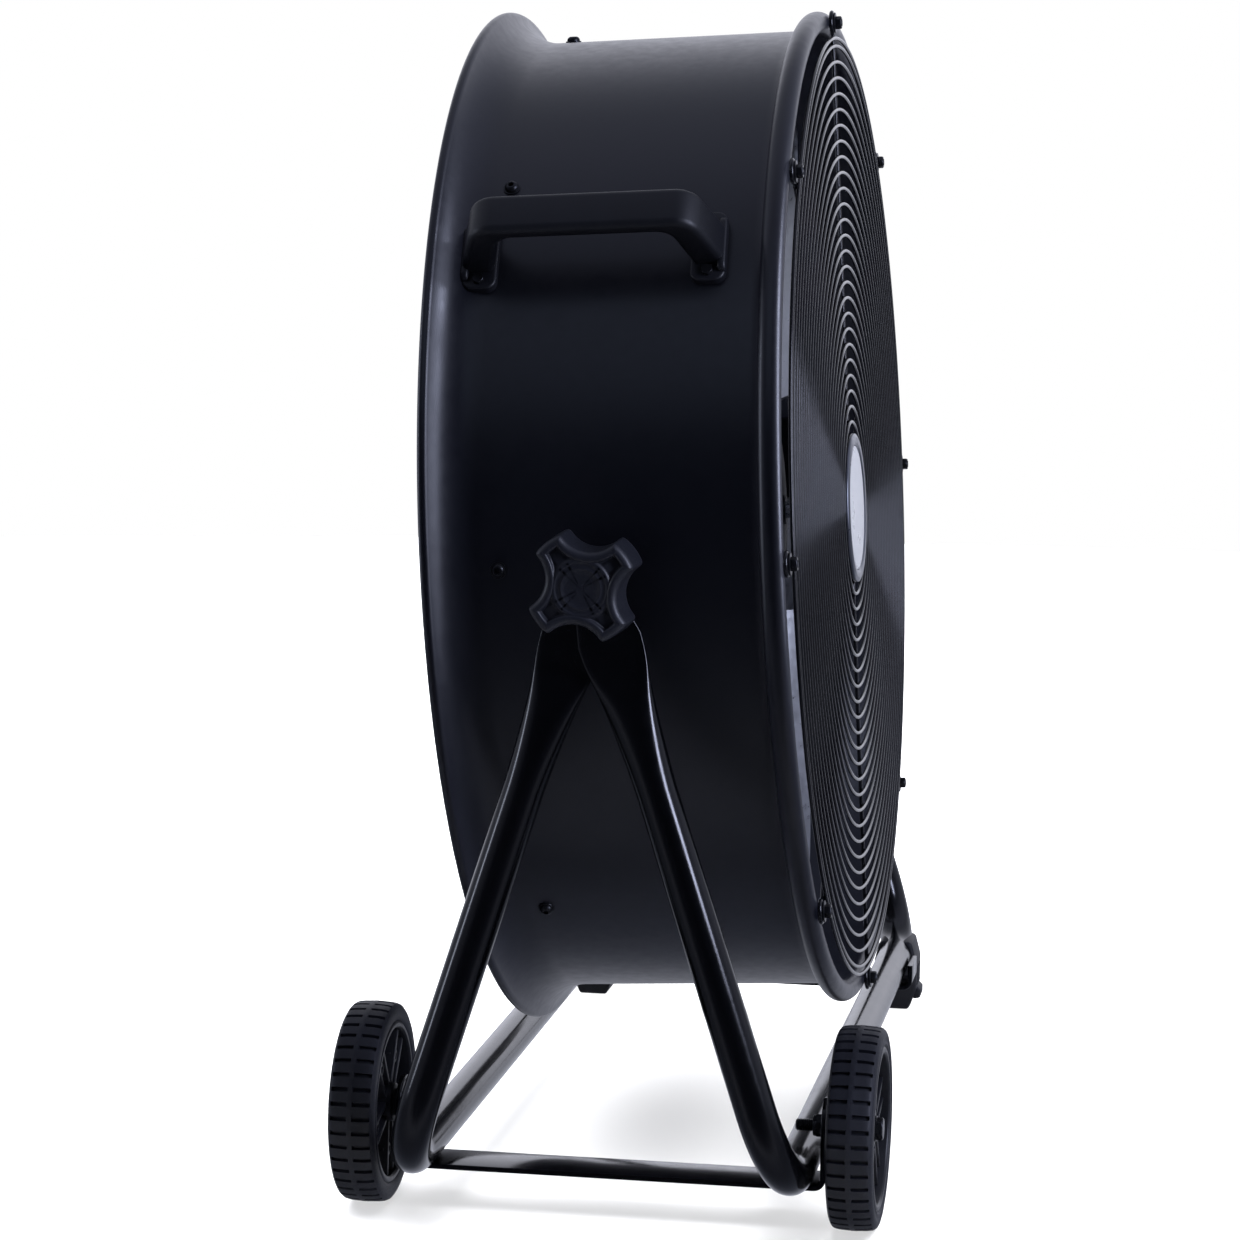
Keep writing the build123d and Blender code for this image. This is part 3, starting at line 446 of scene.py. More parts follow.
def maprange(nt, fac, a, b, c, d):
    n = nt.nodes.new("ShaderNodeMapRange")
    n.inputs["From Min"].default_value, n.inputs["From Max"].default_value = a, b
    n.inputs["To Min"].default_value, n.inputs["To Max"].default_value = c, d
    nt.links.new(fac, n.inputs["Value"])
    return n.outputs["Result"]


def bump(nt, b, height, strength, dist, normal=None):
    n = nt.nodes.new("ShaderNodeBump")
    n.inputs["Strength"].default_value = strength
    n.inputs["Distance"].default_value = dist
    nt.links.new(height, n.inputs["Height"])
    if normal is not None:
        nt.links.new(normal, n.inputs["Normal"])
    nt.links.new(n.outputs[0], b.inputs["Normal"])
    return n.outputs[0]


def mathn(nt, op, a, b=None, clamp=False):
    n = nt.nodes.new("ShaderNodeMath")
    n.operation = op
    n.use_clamp = clamp
    for k, v in enumerate((a, b)):
        if v is None:
            continue
        if isinstance(v, (int, float)):
            n.inputs[k].default_value = v
        else:
            nt.links.new(v, n.inputs[k])
    return n.outputs[0]


def mixcol(nt, fac, c0, c1):
    n = nt.nodes.new("ShaderNodeMix")
    n.data_type = "RGBA"
    if isinstance(fac, (int, float)):
        n.inputs[0].default_value = fac
    else:
        nt.links.new(fac, n.inputs[0])
    for k, c in ((6, c0), (7, c1)):
        if isinstance(c, tuple):
            n.inputs[k].default_value = (*c, 1)
        else:
            nt.links.new(c, n.inputs[k])
    return n.outputs[2]


def edge_wear(nt, lo=0.52, hi=0.6):
    """White along worn outside edges."""
    g = nt.nodes.new("ShaderNodeNewGeometry")
    return maprange(nt, g.outputs["Pointiness"], lo, hi, 0.0, 1.0)


def coated(name, col, col2, rough, rough_var, peel_scale, peel, dust=0.06, spec=0.5, fine=0.0, coat=0.0):
    """Powder coat or paint: orange-peel bump, faint mottling, roughness
    variation and a little dust on upward faces."""
    m, nt, b = new_mat(name)
    v = coords(nt)
    big = noise(nt, v, 9.0, 4.0, 0.6)
    mid = noise(nt, v, 140.0, 3.0, 0.55)
    c = mixcol(nt, maprange(nt, big, 0.35, 0.65, 0, 1), col, col2)
    g = nt.nodes.new("ShaderNodeNewGeometry")
    sep = nt.nodes.new("ShaderNodeSeparateXYZ")
    nt.links.new(g.outputs["Normal"], sep.inputs[0])
    upw = maprange(nt, sep.outputs["Z"], 0.3, 1.0, 0.0, dust)
    dn = mathn(nt, "MULTIPLY", upw, maprange(nt, mid, 0.4, 0.7, 0.3, 1.0))
    c = mixcol(nt, dn, c, (0.16, 0.165, 0.175))
    nt.links.new(c, b.inputs["Base Color"])
    r = mathn(nt, "ADD", maprange(nt, mid, 0.3, 0.7, rough - rough_var, rough + rough_var), maprange(nt, big, 0.3, 0.7, -rough_var * 0.6, rough_var * 0.6))
    nt.links.new(r, b.inputs["Roughness"])
    b.inputs["Specular IOR Level"].default_value = spec
    if coat:
        b.inputs["Coat Weight"].default_value = coat
        b.inputs["Coat Roughness"].default_value = 0.06
    p = noise(nt, v, peel_scale, 2.0, 0.5)
    n1 = bump(nt, b, p, peel, 0.00006)
    if fine:
        p2 = noise(nt, v, peel_scale * 4.5, 2.0, 0.5)
        bump(nt, b, p2, fine, 0.00003, n1)
    return m


def moulded(name, col, rough, grain_scale, grain, spec=0.45, col2=None):
    """Injection-moulded plastic or rubber with spark-eroded grain."""
    m, nt, b = new_mat(name)
    v = coords(nt)
    vor = nt.nodes.new("ShaderNodeTexVoronoi")
    vor.inputs["Scale"].default_value = grain_scale
    nt.links.new(v, vor.inputs["Vector"])
    ng = noise(nt, v, grain_scale * 0.9, 3.0, 0.6)
    big = noise(nt, v, 22.0, 4.0, 0.6)
    h = mathn(nt, "ADD", vor.outputs["Distance"], ng)
    c = mixcol(nt, maprange(nt, big, 0.35, 0.65, 0, 1), col, col2 or tuple(x * 1.35 for x in col))
    w = edge_wear(nt, 0.53, 0.62)
    c = mixcol(nt, mathn(nt, "MULTIPLY", w, 0.25), c, tuple(min(1, x * 3 + 0.02) for x in col))
    nt.links.new(c, b.inputs["Base Color"])
    nt.links.new(maprange(nt, ng, 0.3, 0.7, rough - 0.06, rough + 0.08), b.inputs["Roughness"])
    b.inputs["Specular IOR Level"].default_value = spec
    bump(nt, b, h, grain, 0.00006)
    return m


def metal(name, col, rough, brush=(1, 1, 1), bscale=300.0, var=0.06, metallic=1.0, bstr=0.12):
    m, nt, b = new_mat(name)
    v = coords(nt, brush)
    n1 = noise(nt, v, bscale, 3.0, 0.6)
    v2 = coords(nt)
    big = noise(nt, v2, 35.0, 5.0, 0.6)
    c = mixcol(nt, maprange(nt, big, 0.3, 0.7, 0, 1), col, tuple(x * 0.82 for x in col))
    nt.links.new(c, b.inputs["Base Color"])
    b.inputs["Metallic"].default_value = metallic
    r = mathn(nt, "ADD", maprange(nt, n1, 0.3, 0.7, rough - var, rough + var), maprange(nt, big, 0.3, 0.7, -0.05, 0.05))
    nt.links.new(r, b.inputs["Roughness"])
    bump(nt, b, n1, bstr, 0.00006)
    return m


MAT = {}
MAT["drum_paint"] = coated("satin_black_drum", (0.0068, 0.0076, 0.0128), (0.0082, 0.0090, 0.0148), 0.34, 0.03, 520.0, 0.22, dust=0.02, fine=0.12)
MAT["frame_paint"] = coated("gloss_black_frame", (0.0006, 0.0007, 0.0011), (0.0010, 0.0011, 0.0016), 0.16, 0.03, 420.0, 0.16, dust=0.02, fine=0.05)
MAT["guard_wire"] = coated("gloss_black_wire", (0.0018, 0.0020, 0.0030), (0.0028, 0.0030, 0.0040), 0.20, 0.03, 700.0, 0.1, dust=0.02)
MAT["black_plastic"] = moulded("black_plastic", (0.0040, 0.0045, 0.0066), 0.46, 1500.0, 0.25)
MAT["knob_plastic"] = moulded("knob_plastic", (0.0105, 0.0115, 0.0160), 0.42, 1400.0, 0.3)
MAT["wheel_plastic"] = moulded("wheel_plastic", (0.0042, 0.0046, 0.0064), 0.38, 1300.0, 0.2)
MAT["tyre_rubber"] = moulded("tyre_rubber", (0.0075, 0.0082, 0.0120), 0.55, 900.0, 0.35, spec=0.35)
MAT["foot_rubber"] = moulded("foot_rubber", (0.0060, 0.0064, 0.0085), 0.50, 1000.0, 0.3, spec=0.35)
MAT["zinc"] = metal("bright_zinc", (0.62, 0.63, 0.65), 0.28, bscale=500.0)
MAT["dark_screw"] = metal("black_zinc", (0.035, 0.036, 0.04), 0.34, bscale=600.0, metallic=0.85)
MAT["zinc_dull"] = metal("dull_zinc", (0.30, 0.30, 0.31), 0.38, bscale=500.0)
MAT["axle_steel"] = metal("black_steel", (0.05, 0.051, 0.056), 0.30, bscale=600.0, metallic=0.9)
MAT["badge_silver"] = metal("badge_ring_silver", (0.26, 0.27, 0.30), 0.34, bscale=350.0, bstr=0.05)
MAT["blade_alu"] = metal("blade_sheet", (0.66, 0.67, 0.68), 0.36, brush=(1, 1, 1), bscale=260.0, var=0.08)
MAT["motor_paint"] = coated("motor_black", (0.010, 0.010, 0.011), (0.013, 0.013, 0.014), 0.45, 0.05, 300.0, 0.35, dust=0.05, fine=0.2)
MAT["stator_steel"] = metal("laminations", (0.2, 0.19, 0.18), 0.5, bscale=200.0)
MAT["brass"] = metal("brass_insert", (0.6, 0.42, 0.18), 0.35, bscale=500.0)
_m, _nt, _b = new_mat("badge_disc_grey")
_v = coords(_nt)
_n = noise(_nt, _v, 60.0, 4.0, 0.6)
_nt.links.new(mixcol(_nt, maprange(_nt, _n, 0.35, 0.65, 0, 1), (0.42, 0.43, 0.45), (0.47, 0.48, 0.50)), _b.inputs["Base Color"])
_nt.links.new(maprange(_nt, _n, 0.3, 0.7, 0.26, 0.36), _b.inputs["Roughness"])
_b.inputs["Metallic"].default_value = 0.35
bump(_nt, _b, noise(_nt, _v, 900.0, 2.0), 0.05, 0.0002)
MAT["badge_grey"] = _m

SLOT_OF = {s["node"]: s["material_slot"] for s in frame["record"]["subparts"]}
for node, ob in frame["nodes"].items():
    mt = MAT[SLOT_OF[node]]
    for i in range(len(ob.data.materials)):
        ob.data.materials[i] = mt
    if not ob.data.materials:
        ob.data.materials.append(mt)


# ---------------------------------------------------------------------------
# Drum shell
# ---------------------------------------------------------------------------
def shell_profile():
    p = []
    # outer wall from the bead back to the flare
    j0 = BEAD_A + BEAD_R * cos(radians(221.8))
    p += [(j0 - 3.0, DRUM_R)]
    for a in np.linspace(j0 - 8, FLARE_START, 14):
        p.append((a, DRUM_R))
    fc = (FLARE_START, DRUM_R + FLARE_RAD)
    for t in np.linspace(0, FLARE_ANG, 18)[1:]:
        p.append((fc[0] - FLARE_RAD * sin(t), fc[1] - FLARE_RAD * cos(t)))
    e2 = p[-1]
    lc = (e2[0] - 0.5 * WALL * sin(FLARE_ANG) - 1.6 + 0.0, 350.0 - 3.2)
    # curl
    a0 = math.atan2(e2[1] - lc[1], e2[0] - lc[0])
    q_in = (e2[0] - WALL * sin(FLARE_ANG), e2[1] - WALL * cos(FLARE_ANG))
    ri = FLARE_RAD + WALL
    # inside flare meets the curl where it comes closest to its underside
    t_end = None
    for t in np.linspace(FLARE_ANG, 0, 200):
        q = (fc[0] - ri * sin(t), fc[1] - ri * cos(t))
        if math.hypot(q[0] - lc[0], q[1] - lc[1]) > 3.25:
            t_end = t
            break
    q = (fc[0] - ri * sin(t_end), fc[1] - ri * cos(t_end))
    a1 = math.atan2(q[1] - lc[1], q[0] - lc[0]) + 2 * pi
    if a1 < a0:
        a1 += 2 * pi
    for t in np.linspace(a0, a1, 22)[1:-1]:
        p.append((lc[0] + 3.2 * cos(t), lc[1] + 3.2 * sin(t)))
    for t in np.linspace(t_end, 0, 16):
        p.append((fc[0] - ri * sin(t), fc[1] - ri * cos(t)))
    j1 = BEAD_A + BEAD_R * cos(radians(240))
    for a in np.linspace(FLARE_START + 6, j1 - 3, 12):
        p.append((a, DRUM_R - WALL))
    # bead, from underneath round the front and over the top
    for t in np.linspace(radians(240 - 360 + 6), radians(221.8 - 12), 44):
        p.append((BEAD_A + BEAD_R * cos(t), BEAD_C + BEAD_R * sin(t)))
    return p


m = M().add(*lathe(shell_profile(), 320, DRUM))
piece("drum_shell_skin", m, "drum", MAT["drum_paint"], ("drum_shell",), sharp=50)

# ---------------------------------------------------------------------------
# Front guard
# ---------------------------------------------------------------------------
front_rings = [321.5, 316.3] + [316.3 - 10.7 * i for i in range(1, 25)]
m = M()
for R in front_rings:
    m.add(*torus(DRUM, RING_A, R, 1.25, seg=max(96, int(R * 0.9)), n=10))
piece("front_guard_wire_rings", m, "drum", MAT["guard_wire"], ("front_guard_rings",), sharp=180)

m = M()
EYE = 7.1
for d in EIGHT:
    f = face_frame(RIB_A, d, 0)
    # rib wire out to the screw, once round it, and back beside itself
    path = [f([[0, 44, 0]])[0]]
    for r in np.linspace(60, FIX_R - EYE - 9, 24):
        path.append(f([[0, r, 0]])[0])
    path.append(f([[0, FIX_R - EYE - 4.0, -0.2]])[0])
    path.append(f([[0, FIX_R - EYE - 1.2, -0.9]])[0])
    for t in np.linspace(-160, 150, 30):
        tt = radians(t)
        path.append(f([[-0.25 + 0.5 * (t + 160) / 310, FIX_R + EYE * cos(tt), EYE * sin(tt)]])[0])
    path.append(f([[0.4, FIX_R - EYE - 1.6, 2.6]])[0])
    path.append(f([[0.4, FIX_R - EYE - 4.2, 2.9]])[0])
    m.add(*sweep(path, ring_pts(1.45, 12), up=AX))
m.add(*torus(DRUM, RIB_A, 43, 1.8, seg=96, n=12))
piece("front_guard_wire_ribs", m, "drum", MAT["guard_wire"], ("front_guard_ribs",), sharp=180)

# washers and flanged hexagon screws in front of the eyes
m = M()
m2 = M()
for k, d in enumerate(EIGHT):
    f = face_frame(0, d, FIX_R)
    w0 = RIB_A + 1.6
    m.add(*lathe(rounded([(w0, 2.7), (w0, 7.0), (w0 + 1.0, 7.0), (w0 + 1.0, 2.7)], 0.3, 2), 40, f))
    ph = 0.35 + 0.9 * k
    h0 = w0 + 1.0
    m2.add(*hex_head(f, h0, h0 + 4.0, 7.8, ph, socket=0.0, crown=0.22))
    m2.add(*lathe([(h0 + 4.01, 0.0), (h0 + 4.01, 2.2), (h0 + 4.3, 2.5), (h0 + 3.8, 2.7), (h0 + 3.8, 0.0)], 20, f, closed=False))
    m2.add(*lathe([(BEAD_A + 1, 0.0), (BEAD_A + 1, 2.45), (h0 + 0.2, 2.45), (h0 + 0.2, 0.0)], 16, f, closed=False))
piece("front_fixing_washers", m, "drum", MAT["dark_screw"], ("front_guard_washers",), sharp=35)
piece("front_fixing_screws", m2, "drum", MAT["dark_screw"], ("front_guard_screws",), sharp=28)

a0 = RIB_A + 1.5 + 0.4
m = M().add(*lathe(rounded([(a0, 0.0), (a0, 51.5), (a0 + 1.4, 51.5), (a0 + 1.4, 0.0)], [0, 0.5, 0.5, 0], 3, False), 128, DRUM, closed=False))
piece("badge_dish_plate", m, "drum", MAT["guard_wire"], ("badge_dish",), sharp=30)
a1 = a0 + 1.4
m = M().add(*lathe(rounded([(a1, 51.5), (a1 + 1.5, 51.2), (a1 + 2.6, 48.6), (a1 + 2.3, 45.0), (a1 + 1.2, 43.2), (a1, 43.0)], [0.3, 0.8, 1.6, 0.8, 0.4, 0.2], 4), 160, DRUM))
piece("badge_bright_ring", m, "drum", MAT["badge_silver"], ("badge_ring",), sharp=60)
m = M().add(*lathe(rounded([(a1, 0.0), (a1, 42.9), (a1 + 1.1, 42.9), (a1 + 1.7, 41.0), (a1 + 1.75, 0.0)], [0, 0.1, 0.4, 0.6, 0], 3, False), 128, DRUM, closed=False))
piece("badge_plain_disc", m, "drum", MAT["badge_grey"], ("badge_disc",), sharp=40)

# ---------------------------------------------------------------------------
# Impeller
# ---------------------------------------------------------------------------
HUB_A, HUB_L, HUB_R = -84.75 + 106, 40.0, 72.0
BLADES, PHASE = 5, 60.0


def blade(ph):
    t = radians(ph)
    out = -YY * cos(t) + UP * sin(t)
    tan_d = np.cross(AX, out)
    rads = np.linspace(70.5, 302.0, 30)
    rows = []
    for rad in rads:
        k = (rad - 62) / 240.0
        chord = np.interp(rad, [62, 150, 230, 302], [96, 126, 142, 150])
        pitch = radians(np.interp(rad, [62, 150, 230, 302], [42, 32, 26, 21]))
        camber = np.interp(rad, [62, 150, 230, 302], [9, 11, 10, 8])
        th = 2.2
        xd = tan_d * cos(pitch) + AX * sin(pitch)
        yd = -np.cross(out, xd)
        h = chord / 2
        # rounded tip corners
        if rad > 280:
            q = (rad - 280) / 22.0
            h = h - 14 * (1 - sqrt(max(0.0, 1 - q * q)))
        us = np.linspace(-1, 1, 25)
        top = [(u * h, camber * (1 - u * u) + th) for u in us]
        bot = [(u * h, camber * (1 - u * u)) for u in us[::-1]]
        o = drum_pt(HUB_A + HUB_L / 2, 0, 0) + out * rad
        rows.append([o + xd * x + yd * y for x, y in top + bot])
    n = len(rows[0])
    V = np.array(rows).reshape(-1, 3)
    F = []
    for i in range(len(rows) - 1):
        for j in range(n):
            j2 = (j + 1) % n
            F.append((i * n + j, (i + 1) * n + j, (i + 1) * n + j2, i * n + j2))
    F.append(tuple(range(n)))
    F.append(tuple(reversed([(len(rows) - 1) * n + j for j in range(n)])))
    return V, F


m = M()
for k in range(BLADES):
    m.add(*blade(PHASE + 360 * k / BLADES))
piece("impeller_blade_sheets", m, "impeller", MAT["blade_alu"], ("impeller_blades",), sharp=50)

# ---------------------------------------------------------------------------
# Frame tubes
# ---------------------------------------------------------------------------
LEAN = math.atan2(BASE_X, PIVOT_Z - BASE_Z)
PLATE_T = 4.0


def sq_section(hw, ht, n, cnt=40):
    t = np.arange(cnt) * 2 * pi / cnt
    c, s = np.cos(t), np.sin(t)
    return np.stack([ht * np.sign(c) * np.abs(c) ** (2 / n), hw * np.sign(s) * np.abs(s) ** (2 / n)], 1)


def frame_tube(sx):
    off = -PLATE_T / 2 if sx < 0 else PLATE_T / 2
    d = np.array([sx * sin(LEAN), 0, -cos(LEAN)])
    up_n = np.array([0, -LEG_Y, PIVOT_Z])
    up_f = np.array([0, LEG_Y, PIVOT_Z])
    cn, cf = np.array([sx * BASE_X, -LEG_Y, BASE_Z]), np.array([sx * BASE_X, LEG_Y, BASE_Z])
    path = fillet_path([up_n + d * 132, cn, cf, up_f + d * 132], [BEND_R, BEND_R], 3.0)
    # stations of the squeezed ends, from the pivot's side
    st = [-20.0, -19.6, -18, -12, -4, 6, 20, 30, 36.4, 37.4, 38.4, 46, 52, 58, 64, 70, 76, 84, 92, 100, 108, 116, 124]
    hw = lambda s: float(np.interp(s, [-20, -19.6, -18, -12, 6, 20, 36.4, 37.4, 48, 58, 67, 80, 96, 114, 132], [9.5, 10.5, 12, 13.4, 14.6, 16.2, 19.8, 20, 19.6, 18.3, 16.9, 15.5, 14.4, 13.4, 12.7]))
    ht = lambda s: float(np.interp(s, [-20, 48, 58, 67, 80, 96, 114, 132], [1.95, 1.95, 2.4, 5.2, 8.2, 10.6, 12.1, 12.7]))
    of = lambda s: float(np.interp(s, [-20, 48, 58, 67, 80, 96, 114, 132], [1.0, 1.0, 1.25, 1.0, 0.6, 0.3, 0.1, 0.0])) * off
    nn = lambda s: float(np.interp(s, [-20, 46, 58, 67, 80, 96, 114, 132], [7.0, 7.0, 3.4, 2.6, 2.2, 2.1, 2.0, 2.0]))
    rows = []
    side = np.array([cos(LEAN), 0, sx * sin(LEAN)])       # across the leg, in its plane
    cnt = 48

    def row(sg, s):
        c = np.array([0, sg * (LEG_Y + of(s)), PIVOT_Z]) + d * s
        sec = sq_section(hw(s), ht(s), nn(s), cnt)
        return [c + YY * p[0] + side * p[1] for p in sec]

    near = [row(-1, s) for s in st]
    far = [row(1, s) for s in st][::-1]
    # round run, oriented like the ends
    P = path
    T = np.zeros_like(P)
    T[1:-1] = P[2:] - P[:-2]
    T[0], T[-1] = P[1] - P[0], P[-1] - P[-2]
    T /= np.linalg.norm(T, axis=1)[:, None]
    sec = sq_section(TUBE_R, TUBE_R, 2.0, cnt)
    mid = []
    X = YY.copy()
    for i in range(len(P)):
        # the side direction is constant, since the whole bend lies in one leaning plane
        sd = side
        xx = np.cross(sd, T[i])
        xx /= np.linalg.norm(xx)
        if i == 0:
            sgn = 1.0 if xx.dot(YY) > 0 else -1.0
        mid.append([P[i] + xx * sgn * p[0] + sd * p[1] for p in sec])
    # the far end's sections run the other way round Y, so turn them to match
    m = M()

    def strip(rows, cap0, cap1):
        V = np.array(rows).reshape(-1, 3)
        n = cnt
        F = []
        for i in range(len(rows) - 1):
            for j in range(n):
                j2 = (j + 1) % n
                F.append((i * n + j, i * n + j2, (i + 1) * n + j2, (i + 1) * n + j))
        if cap0:
            F.append(tuple(reversed(range(n))))
        if cap1:
            F.append(tuple((len(rows) - 1) * n + j for j in range(n)))
        return V, F

    far2 = []
    for r in far:
        r = np.array(r)
        # reorder so that point j matches the round run's point j
        tgt = np.array(mid[-1]) - P[-1]
        c = r.mean(0)
        best = None
        for k in range(cnt):
            for flip in (1, -1):
                idx = [(k + flip * j) % cnt for j in range(cnt)]
                e = np.sum(((r[idx] - c) * np.array([1, 1, 1]) - tgt) ** 2)
                if best is None or e < best[0]:
                    best = (e, idx)
        far2.append(r[best[1]])
    rows = near + mid + far2
    m.add(*strip(rows, True, True))
    return m


for sx, nm in ((-1, "rear"), (1, "front")):
    piece(nm + "_bent_tube", frame_tube(sx), "frame", MAT["frame_paint"], (nm + "_frame_tube",), sharp=55)

# ---------------------------------------------------------------------------
# Star knobs
# ---------------------------------------------------------------------------
KNOB_Y0, KNOB_H = 371.7, 32.5


def knob_outline(a0, n=360):
    """Closed outline (y, z), counter-clockwise, of a disc with four scoops."""
    th = np.arange(4 * n) * 2 * pi / (4 * n)
    r = np.full(len(th), 35.0)
    for k in range(4):
        d = (th - radians(a0 + 90 * k) + pi) % (2 * pi) - pi
        ok = np.abs(np.sin(d)) * 42.0 < 19.5
        q = np.where(ok & (np.abs(d) < pi / 2), 42.0 * np.cos(d) - np.sqrt(np.maximum(0, 19.5 ** 2 - (42.0 * np.sin(d)) ** 2)), 99.0)
        r = np.minimum(r, q)
    P = np.stack([r * np.cos(th), r * np.sin(th)], 1)
    # even spacing, then smoothed so that the corners are round
    seg = np.linalg.norm(np.roll(P, -1, 0) - P, axis=1)
    s = np.concatenate([[0], np.cumsum(seg)])
    Pc = np.vstack([P, P[:1]])
    u = np.arange(n) * s[-1] / n
    Q = np.stack([np.interp(u, s, Pc[:, 0]), np.interp(u, s, Pc[:, 1])], 1)
    step = s[-1] / n
    sig = 1.9 / step
    k = np.arange(-int(4 * sig), int(4 * sig) + 1)
    g = np.exp(-0.5 * (k / sig) ** 2)
    g /= g.sum()
    out = np.zeros_like(Q)
    for kk, gg in zip(k, g):
        out += gg * np.roll(Q, kk, 0)
    return out


def inset(P, d):
    e = np.roll(P, -1, 0) - np.roll(P, 1, 0)
    e /= np.linalg.norm(e, axis=1)[:, None]
    nrm = np.stack([e[:, 1], -e[:, 0]], 1)
    return P - nrm * d


def dist_to(P, pts):
    """Least distance from each of pts to the outline's points."""
    return np.sqrt(((pts[:, None, :] - P[None, :, :]) ** 2).sum(2)).min(1)


def smooth01(x, a, b):
    t = np.clip((x - a) / (b - a), 0, 1)
    return t * t * (3 - 2 * t)


def knob(sg, nm):
    a0 = -7.0 if sg < 0 else 7.0
    fr = Fr((0, sg * KNOB_Y0, PIVOT_Z), (0, sg, 0), (1, 0, 0))
    P = knob_outline(a0)
    n = len(P)
    H = KNOB_H
    rows = []
    # bottom lip, side wall with a slight draft, wide rounded front edge, rim, inner slope
    rows.append((0.0, 0.9))
    rows.append((0.25, 0.25))
    rows.append((0.9, 0.0))
    for x in (4, 9, 14, 19, 24):
        rows.append((x, 0.022 * x))
    r = 4.3
    for t in np.linspace(0, 80, 8):
        tt = radians(t)
        rows.append((H - r + r * sin(tt), 0.55 + r * (1 - cos(tt))))
    rows.append((H, 0.55 + r + 0.2))
    rows.append((H - 0.25, 0.55 + r + 0.9))
    rows.append((H - 0.75, 0.55 + r + 1.5))
    V = []
    for x, d in rows:
        q = inset(P, d)
        V.append(np.column_stack([np.full(n, x), q]))
    # face: from the inner edge of the rim to the centre disc
    q0 = inset(P, 0.55 + r + 1.5)
    th = np.unwrap(np.arctan2(q0[:, 1], q0[:, 0]))
    rr = np.hypot(q0[:, 0], q0[:, 1])
    Rc = 16.2
    m_ = 26
    for j in range(1, m_ + 1):
        t = j / m_
        rad = rr + (Rc - rr) * t
        pts = np.stack([rad * np.cos(th), rad * np.sin(th)], 1)
        dd = dist_to(P, pts)
        lobe = smooth01(dd, 5.9, 7.3) * smooth01(rad, 17.2, 19.2)
        depth = lobe * (1.0 + 2.0 * np.clip((rad - 18) / 10.0, 0, 1))
        V.append(np.column_stack([H - 0.75 - depth, pts]))
    # centre disc, sunk, with a fine raised ring
    for rad, x in ((15.9, H - 0.75), (15.5, H - 1.15), (14.6, H - 1.25), (12.6, H - 1.25), (12.3, H - 1.0), (11.8, H - 1.0), (11.5, H - 1.25), (7.5, H - 1.3), (3.0, H - 1.3)):
        V.append(np.column_stack([np.full(n, x), rad * np.cos(th), rad * np.sin(th)]))
    V = np.concatenate(V)
    k = len(V) // n
    F = []
    for i in range(k - 1):
        for j in range(n):
            j2 = (j + 1) % n
            F.append((i * n + j, i * n + j2, (i + 1) * n + j2, (i + 1) * n + j))
    F.append(tuple(reversed(range(n))))
    F.append(tuple((k - 1) * n + j for j in range(n)))
    m = M().add(fr(V), F)
    piece(nm + "_star_knob", m, nm + "_knob", MAT["knob_plastic"], (nm + "_knob",), sharp=60)
    w = M().add(*lathe(rounded([(0, 5.2), (0, 15), (2.5, 15), (2.5, 5.2)], 0.4, 2), 72, Fr((0, sg * 369.1, PIVOT_Z), (0, sg, 0), (1, 0, 0))))
    piece(nm + "_knob_washer", w, nm + "_clamp", MAT["zinc_dull"], (nm + "_clamp_washer",), sharp=35)


knob(-1, "near")
knob(1, "far")
m = M()
for sg in (-1, 1):
    fr = Fr((0, 0, PIVOT_Z), (0, sg, 0), (1, 0, 0))
    m.add(*lathe(rounded([(326.6, 0.0), (326.6, 16.0), (360.8, 16.0), (360.8, 0.0)], [0, 0.3, 0.8, 0], 3, False), 72, fr, closed=False))
piece("tilt_spacers", m, "drum", MAT["frame_paint"], ("clamp_spacers",), sharp=35)

# ---------------------------------------------------------------------------
# Handle
# ---------------------------------------------------------------------------
HDEG, HA = 35.3, -7.0
hf = rad_frame(HA, HDEG, DRUM_R)          # x along the drum, y round it, z out
# prism extrudes along the local x, so turn: x' = round, y' = along, z' = out
hx = Fr(hf.o, hf.ey, hf.ex, hf.ez)


def handle():
    outer = rounded([(-83, -0.6), (-83, 7), (-68.5, 51), (68.5, 51), (83, 7), (83, -0.6)], [0.5, 7, 17, 17, 7, 0.5], 9, False)
    inner = rounded([(64, -0.6), (62, 6), (52.5, 39), (-52.5, 39), (-62, 6), (-64, -0.6)], [0.5, 9, 11, 11, 9, 0.5], 8, False)
    poly = outer + inner
    m = M()
    m.add(*prism(poly, hx, -13.5, 13.5, cham=4.6, cham_lo=4.6, steps=6))
    for s in (-1, 1):
        pad = rounded([(-25, s * 61), (25, s * 61), (25, s * 83), (-25, s * 83)], 6.5, 6)
        # local: x out, y round, z along
        pf = Fr(hf.o, hf.ez, hf.ey, hf.ex)
        m.add(*prism(pad, pf, -1.2, 5.0, cham=1.6, cham_lo=0.0, steps=4))
        # outer lip of the foot, rounded at its ends
        lip = rounded([(-19.5, -1.0), (-19.5, 9.5), (19.5, 9.5), (19.5, -1.0)], [0, 7.5, 7.5, 0], 7)
        lf = Fr(hf.o + hf.ex * (s * 80.9), hf.ex, hf.ey, hf.ez)
        m.add(*prism(lip, lf, -2.6, 2.6, cham=1.7, cham_lo=1.7, steps=4))
    return m


piece("carry_handle", handle(), "drum", MAT["black_plastic"], ("handle",), sharp=50)

m = M()
for s in (-1, 1):
    for q in (-18.5, 18.5):
        f = Fr(hf.o + hf.ex * (s * 72) + hf.ey * q, hf.ez, hf.ex)
        m.add(*hex_head(f, 4.6, 7.6, 6.6, 0.3 * q, socket=0.0, crown=0.25))
piece("handle_fixings", m, "drum", MAT["dark_screw"], ("handle_screws",), sharp=28)

